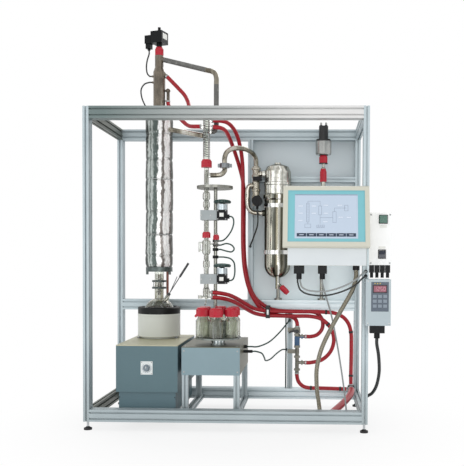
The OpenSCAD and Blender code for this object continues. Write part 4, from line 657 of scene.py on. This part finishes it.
BUNDLE_DROP = 26
BUNDLE = [(-110, 316, 672), (-86, 316, 672), (-52, 327, 667), (-16, 358, 656), (22, 412, 633), (60, 478, 603),
    (102, 542, 574), (160, 580, 559), (236, 588, 556), (330, 588, 555)]
HOSES = {
    "head_hose": [head_port(58), head_port(80), (-318, 466, 1792), (-278, 446, 1748), (-254, 414, 1706),
        (-240, 378, 1671), (-226, 346, 1646), (-206, 324, 1630), (-184, 316, 1625), (-164, 316, 1625)],
    "valve_hose": [(-374, 480, 1722), (-374, 480, 1710), (-370, 477, 1696), (-359, 469, 1681), (-342, 457, 1665),
        (-324, 443, 1645), (-300, 425, 1618), (-276, 404, 1594), (-252, 378, 1573), (-230, 350, 1560),
        (-208, 327, 1554), (-184, 316, 1552), (-164, 316, 1552)],
    "upper_cooling_hose": [(-110, 316, 1583), (-86, 316, 1583), (-58, 328, 1583), (-33, 354, 1580),
        (-14, 394, 1569), (4, 446, 1543), (18, 504, 1496), (28, 552, 1425), (32, 576, 1330), (32, 578, 1160),
        (32, 578, 1010), (34, 579, 900), (42, 581, 800), (62, 584, 705), (92, 590, 632), (132, 601, 574),
        (184, 610, 541), (240, 612, 531), (292, 612, 528), (318, 610, 520), (336, 605, 505), (343, 600, 484),
        (343, 600, 466)],
    "lower_cooling_hose": [(-110, 316, 1548), (-86, 316, 1548), (-62, 328, 1546), (-45, 358, 1540),
        (-35, 402, 1526), (-22, 470, 1491), (-4, 546, 1430), (14, 588, 1364), (30, 604, 1290), (36, 605, 1200),
        (36, 605, 1010), (38, 605, 900), (46, 607, 800), (66, 609, 705), (98, 614, 636), (140, 617, 595),
        (186, 614, 569), (236, 613, 558), (300, 613, 555), (360, 613, 554), (420, 613, 553), (455, 614, 544),
        (481, 614, 518), (490, 614, 482), (481, 611, 447), (455, 606, 421), (420, 600, 412), (386, 600, 412)],
    "return_hose": BUNDLE + [(420, 588, 555), (500, 589, 553), (560, 592, 546), (606, 595, 523),
        (636, 598, 485), (650, 600, 434), (652, 600, 370), (652, 599, 300), (651, 593, 238), (650, 583, 192),
        (650, 580, 164), (650, 580, 138)],
    "feed_hose": [(x, t, z - BUNDLE_DROP) for x, t, z in BUNDLE] + [(420, 588, 528), (486, 587, 510),
        (534, 587, 461), (552, 588, 395), (534, 591, 329), (486, 596, 281), (420, 600, 263), (386, 600, 263)],
    "manifold_drain_hose": [(343, 600, 205), (343, 600, 188), (352, 600, 154), (377, 600, 128), (413, 600, 118),
        (470, 599, 117), (530, 592, 117), (580, 583, 117), (608, 580, 117), (632, 580, 117)],
}
DRAIN = [(650, 562, 118), (650, 530, 117), (640, 450, 110), (614, 350, 100), (582, 250, 92), (553, 170, 85),
    (535, 120, 81), (530, 100, 80), (530, 82, 80)]
HOSE_R, DRAIN_R = 11, 18
BANDS = (("return_hose", (507, 589, 552)), ("return_hose", (650, 600, 440)), ("return_hose", (651, 590, 190)),
    ("manifold_drain_hose", (424, 600, 120)), ("manifold_drain_hose", (590, 585, 117)),
    ("feed_hose", (512, 587, 480)))
hoses, clips = Kit(), Kit()


def ring_clip(p, d, r, width=8, proud=1.6):
    """A steel band clip with its screw housing, around a hose at p running along d."""
    place = lined_up(p, d.normalized())
    w = width / 2
    clips.lathe([(r, -w), (r + proud, -w * 0.8), (r + proud, w * 0.8), (r, w)], 0, place, 24)
    clips.box((11, 7, 8), 0, place @ shift(r + 3, 0, 0), 1)
    screw = [(0, -7), (3, -7), (3, -4), (2.4, -3.6), (2.4, 4), (0, 4)]
    clips.lathe(screw, 0, place @ shift(r + 3, 0, 0, "X", 90), 12)


# black worm-drive bands, each at the place on its hose nearest to a point
for name, near in BANDS:
    pts = along(HOSES[name])
    i = min(range(1, len(pts) - 1), key=lambda k: (pts[k] - at(*near)).length)
    place = lined_up(pts[i], pts[i + 1] - pts[i - 1])
    clips.lathe([(HOSE_R, -6), (12.8, -5.4), (12.8, 5.4), (HOSE_R, 6)], 1, place, 24)
for route in HOSES.values():
    pts = along(route)
    hoses.sweep(pts, HOSE_R, 0, 20)
    ring_clip(pts[2], pts[2] - pts[1], HOSE_R)
    ring_clip(pts[-3], pts[-3] - pts[-2], HOSE_R)
pts = along(DRAIN, 14)
hoses.sweep(pts, DRAIN_R, 0, 24)
ring_clip(pts[4], pts[4] - pts[3], DRAIN_R, 12)
ring_clip(pts[-5], pts[-5] - pts[-4], DRAIN_R, 12)
hoses.box((37, 36, 40), 1, move(650.5, 580, 118), 4)
hoses.build("cooling_hoses", "frame", ["hose_red", "plug_black"], "hose", 40, ["red_hoses"])
clips.build("hose_clips", "frame", ["screw_steel", "black_trim"], "steel")

coil_plug = port(*COLUMN, 0, 180 + COIL_TURN, 0, 65)
# each cable's route, radius and material
CABLES = {
    "head_cable": ([(*coil_plug[:2], 2005), (*coil_plug[:2], 1985), (-494, 498, 1950), (-497, 491, 1912),
        (-491, 483, 1876), (-478, 480, 1859), (-470, 480, 1857), (-463, 480, 1857)], 4, 1),
    "loop_cable": ([(-463, 480, 1824), (-478, 480, 1824), (-506, 480, 1814), (-524, 480, 1784), (-520, 480, 1740),
        (-502, 480, 1698), (-487, 480, 1676), (-484, 480, 1656)], 4, 1),
    "console_cable": ([(474, -50, 756), (474, -50, 738), (490, -24, 680), (520, 30, 580), (552, 90, 430),
        (576, 124, 290), (592, 134, 180), (600, 118, 104), (600, 94, 80), (600, 74, 80)], 4, 0),
    "pair_cable": ([(368, -50, 756), (368, -50, 742), (380, -64, 716), (416, -82, 702), (490, -90, 700),
        (568, -90, 722), (630, -86, 754), (660, -66, 780), (676, -48, 791), (685, -30, 794), (685, -13, 794)], 4, 0),
    "lower_pair_cable": ([(356, -50, 756), (356, -50, 740), (370, -62, 704), (412, -78, 684), (490, -86, 680),
        (570, -86, 700), (632, -82, 732), (660, -64, 758), (676, -46, 769), (685, -30, 772), (685, -13, 772)], 4, 1),
    "motor_cable": ([(80, 330, 384), (100, 330, 384), (140, 356, 382), (196, 440, 400), (250, 536, 446),
        (286, 594, 488), (299, 614, 500), (299, 631, 500)], 4, 2),
    "plug_cable": ([(112, 300, 362), (130, 300, 362), (160, 316, 350), (172, 350, 322), (176, 400, 300),
        (198, 480, 298), (226, 570, 316), (250, 636, 328), (262, 655, 330), (276, 655, 330)], 4, 2),
    "riser_cable": ([(276, 685, 105), (276, 685, 240), (277, 685, 330), (276, 685, 420), (276, 685, 557)], 4, 2),
    "upper_coil_cable": ([(-14, 310, 1076), (-4, 310, 1076), (6, 312, 1066), (8, 316, 1040), (-4, 324, 1004),
        (-28, 335, 970), (-50, 346, 952), (-66, 350, 948), (-77.1, 350, 948)], 4, 2),
    "slack_cable": ([(-77.1, 350, 926), (-64, 350, 926), (-34, 348, 934), (-6, 345, 926), (8, 345, 906),
        (-6, 345, 890), (-34, 348, 894), (-64, 350, 902), (-77.1, 350, 902)], 4, 2),
    "lower_coil_cable": ([(-14, 310, 738), (-4, 310, 738), (7, 310, 746), (14, 312, 768), (15, 316, 800),
        (10, 322, 832), (-10, 332, 853), (-42, 345, 861), (-63, 350, 862), (-77.1, 350, 862)], 4, 2),
    "trap_cable": ([(118, 516, 1130), (118, 516, 1114), (122, 521, 1080), (117, 535, 1034), (98, 560, 984),
        (80, 592, 944), (71, 608, 928), (70, 618, 925), (70, 629, 925)], 4, 1),
    "controller_cable": ([(736, -60, 476), (736, -60, 448), (746, -50, 390), (752, -22, 310), (744, 18, 238),
        (727, 58, 192), (706, 90, 170), (691, 107, 152), (685, 112, 134), (685, 112, 118)], 8, 1),
}
CONDUIT = [(635, -50, 800), (635, -50, 770), (620, -50, 708), (580, -34, 632), (522, 2, 522), (474, 50, 410),
    (452, 98, 308), (451, 130, 228), (455, 146, 172), (461, 148, 136), (465, 141, 107), (468, 123, 87),
    (470, 102, 80), (470, 82, 80)]
cables = Kit()
for route, r, look in CABLES.values():
    cables.sweep(along(route), r, look, 14)


def evenly(pts, step):
    """The same curve with points at even steps."""
    out, left = [pts[0]], step
    for a, b in zip(pts, pts[1:]):
        d = (b - a).length
        while left <= d:
            out.append(a.lerp(b, left / d))
            left += step
        left -= d
    return out


ribs = evenly(along(CONDUIT, 16), 0.0016)
cables.sweep(ribs, lambda i: (10.8, 11, 10.8, 9.4)[i % 4], 3, 16)
cables.build("electric_cables", "frame", ["grey_cable", "black_cable", "green_cable", "armoured_conduit"],
    "cable", 50, ["cables"])

# The column's crumpled lagging, drawn in at its ties and its ends, with two turns of wire

FOIL_LOW, FOIL_HIGH, FOIL_R, FOIL_BORE = 806, 1654, 74.4, 26.3
ROWS, COLS = 210, 96
verts, faces = [], []
for j in range(ROWS + 1):
    z = FOIL_LOW + (FOIL_HIGH - FOIL_LOW) * j / ROWS
    pinch = max([exp(-(((z - t) / 7) ** 2)) for t in FOIL_TIES])
    puff = 0.9 * sin(z / 61.0) + 0.5 * sin(z / 23.0 + 1)
    edge = min(j, ROWS - j)
    for a in circle(COLS):
        p = Vector((cos(a), sin(a), 0))
        r = FOIL_R + puff
        r += 2.2 * noise.noise(p * 2.4 + Vector((0, 0, z / 190)))
        r -= 3.2 * abs(noise.noise(p * 4.6 + Vector((7, 0, z / 130))))
        r -= 1.8 * abs(noise.noise(p * 9.0 + Vector((0, 9, z / 45))))
        r -= 3.0 * pinch
        if edge < 4:
            r -= (4 - edge) * 1.4
        verts.append(Vector((r / 1000 * cos(a), r / 1000 * sin(a), z / 1000)))
for j in range(ROWS):
    faces += band(j * COLS, (j + 1) * COLS, COLS)
for j, order in ((0, -1), (ROWS, 1)):
    z = verts[j * COLS].z
    n = len(verts)
    verts += [Vector((FOIL_BORE / 1000 * cos(a), FOIL_BORE / 1000 * sin(a), z)) for a in circle(COLS)]
    faces += [q[::order] for q in band(j * COLS, n, COLS)]
foil = Kit()
foil.add(verts, faces, 0, move(*COLUMN, 0))
for z in (1287, 985):
    ring = [at(COLUMN_X + 71.5 * cos(a), COLUMN_T + 71.5 * sin(a), z + 2 * sin(a * 2))
        for a in circle(60)]
    foil.sweep(ring + [ring[0]], 1.6, 1, 8, caps=False)
foil.build("foil_jacket", "frame", ["foil_painted_light", "screw_steel"], "foil", 180, ["column_jacket"])

# Bent tubes

TUBE_R, STEP = 13.5, 8
RUN = hypot(RISER_X - COLUMN_X, RISER_T - COLUMN_T)
CORNER = RUN / cos(radians(VAPOUR_DIP))
CORNER_Z = VAPOUR_Z - RUN * tan(radians(VAPOUR_DIP))
inward = (Vector((0, 0, -1)) - (Vector(vapour_port(CORNER)) - Vector(vapour_port(0))).normalized()).normalized()
VAPOUR = [vapour_port(36), vapour_port(120), vapour_port(220), vapour_port(CORNER - 64), vapour_port(CORNER - 30),
    Vector((*RISER, CORNER_Z)) + 10 * inward,
    *[(*RISER, z) for z in (CORNER_Z - 30, CORNER_Z - 64, 1680, 1600)],
    (*arm_port(57)[:2], 1560), (*arm_port(49.5)[:2], 1538), arm_port(42), arm_port(30)]
curve = along(VAPOUR, STEP)
tubes = Kit()
# bare where it bends, lagged before and after
for first, last, look in ((0, 3 * STEP, 0), (3 * STEP, 7 * STEP, 1), (7 * STEP, len(curve) - 1, 0)):
    tubes.sweep(curve[first:last + 1], TUBE_R, look, 24)
tubes.sweep([at(*takeoff_port(reach)) for reach in (22, 100, 180, 258)], TUBE_R, 1, 24)
tubes.build("vapour_tube", "frame", ["vapour_tube", "bent_tube"], "tube", 40, ["vapour_line"])

VACUUM = [(-115, 316, 1295), (-92, 316, 1295), (-60, 322, 1300), (-43, 332, 1320), (-43, 335, 1336), (-43, 335, 1360),
    (-43, 337, 1390), (-32, 354, 1424), (-4, 384, 1446), (44, 434, 1454), (84, 496, 1444), (105, 544, 1420),
    (108, 560, 1388), (108, 560, 1372)]
UPIPE = [(84, 560, 1266), (78, 560, 1266), (66, 560, 1258), (60, 560, 1236), (60, 560, 1180), (66, 560, 1140),
    (90, 560, 1116), (122, 560, 1112), (144.5, 560, 1112)]
vac = Kit()
for route in (VACUUM, UPIPE):
    vac.sweep(along(route, 8), 13, 0, 24)
BLOCK = [(0, 1150), (18, 1150), (20, 1152), (20, 1351), (25.5, 1352), (27, 1353.5), (27, 1364.5), (25.5, 1366),
    (20, 1367), (20, 1372), (19, 1373), (0, 1373)]
vac.lathe(BLOCK, 0, move(BLOCK_X, TRAP_T, 0), 40)
for z in (1200, 1240, 1318):
    ring = [(20, -9), (23.5, -8), (24.5, -6.5), (24.5, 6.5), (23.5, 8), (20, 9)]
    vac.lathe(ring, 0, move(BLOCK_X, TRAP_T, z), 40)
RIGHT_STUB = [(0, 0), (15, 0), (15, 20), (19, 22), (19, 30), (15, 32), (15, 36.5), (0, 36.5)]
LEFT_STUB = [(0, -26), (13.5, -26), (18, -25), (18, -20), (13.5, -19), (13.5, 0), (0, 0)]
for z, stub in ((1330, RIGHT_STUB), (1266, LEFT_STUB)):
    vac.lathe(stub, 0, move(BLOCK_X, TRAP_T, z, "Y", 90), 32)
vac.build("vacuum_tubes", "frame", ["bent_tube"], "tube", 35, ["vacuum_line"])

# Vapour guide inside the flask's neck, and the clamp that holds the neck's joint

column = move(*COLUMN, 0)
guide = Kit()
guide.lathe([(4, 650), (6, 648), (8, 652), (8, 764), (6.5, 764), (6.5, 652), (4, 652)], 0, column, 32)
for z in (668, 704, 740):
    guide.lathe([(8, z - 3), (15, z - 2), (15, z + 2), (8, z + 3)], 0, column, 32)
guide.build("vapour_guide", "frame", ["silvered_glass"], "glass", 40)

clamp = Kit()
low, high = NECK_Z - 80, NECK_Z - 43
for z in (low, high):
    clamp.lathe([(37.2, z - 1), (40, z - 0.4), (40, z + 8.4), (37.2, z + 9), (37.2, z - 1)], 0, column, 40)
low, high = low + 8.2, high - 0.2
for turn in (200, 320, 80):
    bolt = move(*port(*COLUMN, 0, turn, 0, 31.5))
    clamp.lathe([(0, low), (2.5, low), (2.5, high), (0, high)], 1, bolt, 12)
    clamp.lathe([(2.5, low), (5, low), (5, low + 3.8), (2.5, low + 3.8)], 1, bolt, 6)
clamp.build("neck_clamp", "frame", ["dark_casting", "screw_steel"], "steel")

# Condenser: cooling coil inside the glass

COIL_TURNS, TURN_STEPS, COIL_R = 16, 20, 13.2
coil = Kit()
turns = []
for i in range(COIL_TURNS * TURN_STEPS + 1):
    a = 2 * pi * i / TURN_STEPS
    z = 1392 + 196 * i / (COIL_TURNS * TURN_STEPS)
    turns.append(at(LINE_X + COIL_R * cos(a), LINE_T + COIL_R * sin(a), z))
coil.sweep(turns, 2.2, 0, 8)
coil.build("condenser_coil", "frame", ["ground_steel"], "steel", 60)

# Operator console: across its sloping front, up the slope, and proud of it

FRONT = move(285, -125, 912, "X", -15.4)
SCREEN = S0, S1, V0, V1 = 61, 350, 44, 254
GLASS, INK, KEY, TEAL, FIELD = range(5)
panel = Kit()


def plate(x0, x1, v0, v1, back, thick, mat, cut=0.4):
    place = FRONT @ shift((x0 + x1) / 2, -(back + thick / 2), (v0 + v1) / 2)
    panel.box((x1 - x0, thick, v1 - v0), mat, place, cut)


def rim(x0, x1, v0, v1, w, thick, mat):
    """A raised lip around a window."""
    for side in ((x0 - w, x1 + w, v0 - w, v0), (x0 - w, x1 + w, v1, v1 + w), (x0 - w, x0, v0, v1),
            (x1, x1 + w, v0, v1)):
        plate(*side, -1.0, thick, mat)


def line(x0, v0, x1, v1, w=1.1):
    plate(x0 - w / 2, x1 + w / 2, v0 - w / 2, v1 + w / 2, -0.3, 0.3, INK, 0.05)


def outline(x0, v0, x1, v1, w=1.1):
    for side in ((x0, v0, x1, v0), (x0, v1, x1, v1), (x0, v0, x0, v1), (x1, v0, x1, v1)):
        line(*side, w)


rim(26.5, 384.5, 26.5, 275.5, 3, 1.6, TEAL)
rim(*SCREEN, 5, 1.4, GLASS)
plate(*SCREEN, -1.0, 0.7, GLASS)
plate(S0 - 4, S1 + 4, V1 + 0.5, V1 + 3.5, 0.4, 0.2, INK, 0.05)
for i in range(6):
    w = (S1 - S0 - 8) / 6
    x = S0 + 4 + i * w
    plate(x + 1, x + w - 1, V0 + 4, V0 + 21, -0.3, 0.5, KEY, 0.2)
    plate(x + w * 0.28, x + w * 0.72, V0 + 11, V0 + 14, 0.2, 0.15, FIELD, 0.05)
# a plain process diagram: column, flask, condenser, trap and pump, with the lines that join them
for a in ((112, 120, 124, 214), (104, 92, 132, 110), (169, 156, 183, 200), (236, 118, 252, 172),
        (292, 176, 308, 204)):
    outline(*a)
for a in ((118, 110, 118, 120), (118, 214, 118, 224), (118, 224, 176, 224), (176, 200, 176, 224),
        (176, 112, 176, 156), (176, 142, 236, 142), (244, 172, 244, 190), (244, 190, 300, 190)):
    line(*a)
# the column's trays, the receivers and the number fields
for v in range(126, 212, 8):
    line(112, v, 124, v, 0.5)
for x in range(160, 200, 10):
    for a in ((x, 92, x + 6, 92), (x, 92, x, 106), (x + 6, 92, x + 6, 106)):
        line(*a)
for x, v in ((72, 196), (72, 160), (72, 124), (136, 196), (136, 160), (192, 200), (192, 160), (258, 200), (262, 140),
        (300, 140), (190, 118)):
    plate(x, x + 22, v, v + 7, -0.3, 0.35, FIELD, 0.05)
    outline(x, v, x + 22, v + 7, 0.6)
panel.build("console_display", "frame", ["screen_face", "screen_lines", "screen_keys", "teal_front", "screen_fields"],
    "screen", 30)

# lower box: pale front plate inside a narrow seam
trim = Kit()
trim.box((372, 1.2, 81.5), 0, move(494.5, -95.3, 863.5), 0.5)
trim.build("console_box_trim", "frame", ["console_box"], "console")

# Power box: bezels of its switches, blank labels and screws

BUTTON_X, ROCKER_X = 768, 763
elec = Kit()


def bezel(x, z, w, h, depth, rim=3):
    """A square rim standing on the box's front."""
    for dx, dz, sx, sz in ((0, h / 2 + rim / 2, w + 2 * rim, rim), (0, -h / 2 - rim / 2, w + 2 * rim, rim),
            (w / 2 + rim / 2, 0, rim, h), (-w / 2 - rim / 2, 0, rim, h)):
        elec.box((sx, depth, sz), 0, move(x + dx, -depth / 2, z + dz))


bezel(BUTTON_X, 1047, 37, 37, 4)
bezel(ROCKER_X, 878, 31.6, 38.6, 3)
elec.screws((709, 801), (0,), (835, 1069), (2.4, 2.2, 1.2, 3, 4.4), 1)
for x, z in ((BUTTON_X, 1012), (ROCKER_X, 910)):
    elec.box((34, 0.8, 12), 2, move(x, -0.4, z), 0.3)
elec.build("power_box_trim", "frame", ["black_trim", "screw_steel", "blank_label"], "white_box")

# Heater controller: display with its digits, keys, lamps and screws

FACE_T = -98
SEGMENTS = {"0": "abcdef", "1": "bc", "2": "abged", "5": "afgcd"}
# a digit's width, height and stroke, and each segment's middle and size
W, H, K = 8.0, 16.0, 1.6
SPOTS = {"a": (0, H / 2, W, K), "g": (0, 0, W, K), "d": (0, -H / 2, W, K), "f": (-W / 2, H / 4, K, H / 2),
    "b": (W / 2, H / 4, K, H / 2), "e": (-W / 2, -H / 4, K, H / 2), "c": (W / 2, -H / 4, K, H / 2)}
ctl = Kit()


def pad(x, z, w, h, thick, mat, back=0.0, cut=0.5):
    ctl.box((w, thick, h), mat, move(x, FACE_T - back - thick / 2, z), cut)


pad(745.5, 676, 82.2, 139.2, 1.2, 0)
pad(745.5, 713, 67, 38, 1.6, 1, 1.2)
pad(745.5, 713, 59, 30, 0.6, 2, 2.8)
for i, figure in enumerate("1250"):
    for c in SEGMENTS[figure]:
        dx, dz, w, h = SPOTS[c]
        pad(724 + i * 14 + dx, 713 + dz, w, h, 0.25, 3, 3.4, 0.05)
for row, col in product(range(3), repeat=2):
    pad(721 + col * 24.5, 678 - row * 23, 18, 15, 1.4, 4, 1.2, 0.9)
ctl.screws((722, 734, 746), (FACE_T - 1.2,), (738.5,), (1.8, 1.6, 0.6, 2, 2.6), 5, 14)
ctl.screws((690, 789), (-100,), (549, 750), (2.2, 2.0, 1.0, 2.6, 3.6), 6, 14)
ctl.build("controller_panel", "frame",
    ["keypad", "black_trim", "display_red", "display_digits", "keypad_key", "status_lamp", "screw_steel"],
    "controller")

# Heater: dial scale, fixings, mantle clips and beads, the knob's pointer

DIAL_X, DIAL_Z = -405, 300.5
heat = Kit()
for i in range(28):
    turn = -225 + i * 10
    r0, r1, width = (21, 25, 0.9) if i % 3 else (20.5, 26, 1.4)
    a, mid = radians(turn), (r0 + r1) / 2
    place = move(DIAL_X + mid * cos(a), 87.8, DIAL_Z + mid * sin(a), "Y", -turn)
    heat.box((r1 - r0, 0.6, width), 0, place, 0.1)
heat.screws((-430, -380), (88,), (272, 329), (1.6, 1.5, 0.8, 1.8, 2.6), 1, 12)
for side in (-103, 103):
    x, t = COLUMN_X + side, COLUMN_T - 46
    heat.box((16, 22, 4), 2, move(x, t, 417.2), 0.8)
    heat.lathe([(0, 9), (3.4, 8.6), (4.6, 7), (4.6, 1), (6.5, 0.6), (6.5, 0)], 1, move(x, t, 419), 16)
for z in (429, 541):
    bead = [(116, -2.4), (117.4, -1.6), (117.6, 0), (117.4, 1.6), (116, 2.4)]
    heat.lathe(bead, 3, move(*COLUMN, z), 72)
heat.build("heater_fixings", "lift", ["screen_lines", "screw_steel", "pipe_clamps", "mantle_enamel"], "mantle")

pointer = Kit()
pointer.box((2.6, 0.5, 9.8), 0, move(DIAL_X, 71, 305.6), 0.1)
pointer.build("knob_pointer", "heat_knob", ["blank_label"], "grey_plastic")

base = Kit()
base.screws((-545, -265), (102,), (96, 150), (1.6, 1.5, 0.8, 1.8, 2.8))
base.build("plinth_fixings", "frame", ["black_trim"], "steel")

table = Kit()
table.screws((-217, 53), (90,), (282, 388), (2.4, 2.2, 1.1, 2.8, 4.2))
table.screws((-214, 50), (106, 554), (409,), (2.4, 2.2, 1.2, 3.2, 5), 0, 20, upright=True)
table.build("table_fixings", "frame", ["screw_steel"], "steel")

# Valves: white plates on the coils, and their screws

valves = Kit()
for z in (1084, 746):
    valves.box((22, 0.8, 20), 0, move(-52, 278.8, z), 0.2)
    valves.screws((-73, -31), (284,), (z - 22, z + 22), (1.8, 1.6, 0.9, 2, 3), 1, 12)
    valves.screws((-160, -112), (292,), (z - 2,), (4.5, 4.4, 3.6, 3.6, 4.2), 1)
reflux_coil = move(*COLUMN, 2066, "Z", COIL_TURN)
valves.box((0.8, 46, 30), 0, reflux_coil @ shift(35.2, 0, 6), 0.2)
valves.build("valve_fittings", "frame", ["blank_label", "screw_steel"], "coil")

caps = Kit()
for z in (1390, 1436):
    ring = [(13, -2), (24.4, -2), (25, -1.2), (25, 1.2), (24.4, 2), (13, 2)]
    caps.lathe(ring, 0, move(SENSOR_X, TRAP_T, z), 32)
for x in (SENSOR_X - 14, SENSOR_X + 14):
    caps.lathe([(6.2, 1598), (8, 1599), (8, 1604), (6.2, 1605)], 0, move(x, TRAP_T, 0), 20)
caps.build("sensor_rings", "frame", ["black_trim"], "sensor")

# Cold trap: bolts of its flange and bands

trap = Kit()
for i in range(10):
    x, t, _ = port(*TRAP, 0, 36 * i + 18, 0, 77.5)
    trap.lathe([(0, 5), (4.6, 5), (5, 4.4), (5, 0)], 0, move(x, t, 1208), 6)
    trap.lathe([(5, 0), (5, -4), (0, -4)], 0, move(x, t, 1190), 6)
for z, side in product((891, 1151), (-1, 1)):
    place = move(TRAP_X + side * 14, 648, z, "Y", side * 90)
    trap.lathe([(0, 9), (5, 9), (5.6, 8), (5.6, 0)], 0, place, 6)
trap.build("trap_bolts", "frame", ["screw_steel"], "steel")

# Strap of the hose bundle, with its buckle

STRAP_X, STRAP_W, STRAP_WALL = 176, 24, 2
STRAP_T, STRAP_Z = (571, 628), (518, 586)
strap = Kit()
mid_t, mid_z = sum(STRAP_T) / 2, sum(STRAP_Z) / 2
for z in STRAP_Z:
    strap.box((STRAP_W, STRAP_T[1] - STRAP_T[0], STRAP_WALL), 0, move(STRAP_X, mid_t, z))
for t in STRAP_T:
    strap.box((STRAP_W, STRAP_WALL, STRAP_Z[1] - STRAP_Z[0]), 0, move(STRAP_X, t, mid_z))
strap.box((12, 6, 30), 1, move(STRAP_X, STRAP_T[0] - 3, mid_z), 1)
strap.build("bundle_strap", "frame", ["black_trim", "screw_steel"], "steel")

# Stage, light and camera


def seen(tree):
    """1 for what the camera sees, by itself or in metal or glass."""
    rays = node(tree, "LightPath").outputs
    fac = rays["Is Camera Ray"]
    for kind in ("Is Glossy Ray", "Is Transmission Ray"):
        fac = node(tree, "Math", {0: fac, 1: rays[kind]}, operation="MAXIMUM").outputs[0]
    return fac


# pale floor that keeps the object's shadow and fades to the white of the background around it
t = Tree("stage_floor")
t.nt.nodes.remove(t.bsdf)
matte = t.node("BsdfDiffuse", {"Color": (0.93, 0.93, 0.93)})
white = t.node("Emission", {"Strength": 1.0})
away = t.plus(t.math("POWER", t.axis("X"), 2.0), t.math("POWER", t.axis("Y"), 2.0))
fade = t.span(t.math("POWER", away, 0.5), 0.6, 1.3, 0.78, 1.0)
mixer = t.node("MixShader", {0: t.times(seen(t.nt), fade), 1: matte, 2: white})
feed(t.nt, t.out.inputs[0], mixer)

me = bpy.data.meshes.new("floor")
s = 40.0
me.from_pydata([(-s, -s, 0), (s, -s, 0), (s, s, 0), (-s, s, 0)], [], [(0, 1, 2, 3)])
me.materials.append(M["stage_floor"])
floor = put("floor", me)

scene = bpy.context.scene
scene.view_settings.view_transform = "Standard"
world = bpy.data.worlds.new("studio")
scene.world = world
world.use_nodes = True
sky = world.node_tree
sky.nodes.clear()
soft, white = (node(sky, "Background", {0: WHITE, 1: strength}).outputs[0] for strength in (0.86, 1.0))
mixer = node(sky, "MixShader", {0: seen(sky), 1: soft, 2: white})
node(sky, "OutputWorld", {0: mixer.outputs[0]})


def lamp(name, place, aim, power, size, color=WHITE):
    d = bpy.data.lights.new(name, "AREA")
    d.energy = power
    d.shape = "RECTANGLE"
    d.size, d.size_y = size
    d.color = color
    o = put(name, d)
    o.location = place
    o.rotation_euler = (Vector(aim) - Vector(place)).to_track_quat("-Z", "Y").to_euler()


lamp("key", (0.6, -4.6, 0.95), (0, 0, 0.8), 30, (2.2, 1.4))
lamp("fill", (-3.0, -3.6, 0.8), (0, 0, 0.8), 30, (2.4, 2.4), (0.94, 0.97, 1.0))
lamp("back", (0.5, 3.4, 3.6), (0, 0, 1.0), 45, (3.2, 1.6))

# focal length and principal point in the photograph's pixels, solved from the frame's edges
IMAGE_W, IMAGE_H = 464, 466
FOCAL, CENTRE_X, CENTRE_Y = 723.2, 290.9, 279.8
cam = bpy.data.cameras.new("camera")
cam.sensor_width = 36
cam.lens = FOCAL / IMAGE_H * 36
cam.shift_x = -(CENTRE_X - IMAGE_W / 2) / IMAGE_H
cam.shift_y = (CENTRE_Y - IMAGE_H / 2) / IMAGE_H
cam.clip_end = 200
camera = put("camera", cam)
yaw, pitch, roll = (radians(a) for a in (1.529, -1.527, 0.287))
right = Vector((cos(yaw), sin(yaw), 0))
ahead = Vector((-sin(yaw), cos(yaw), 0)) * cos(pitch) + Vector((0, 0, sin(pitch)))
up = right.cross(ahead)
right, up = right * cos(roll) + up * sin(roll), up * cos(roll) - right * sin(roll)
turned = Matrix((right, up, -ahead)).transposed().to_4x4()
camera.matrix_world = Matrix.Translation(at(415.8, -3518.9, 845.0)) @ turned
scene.camera = camera
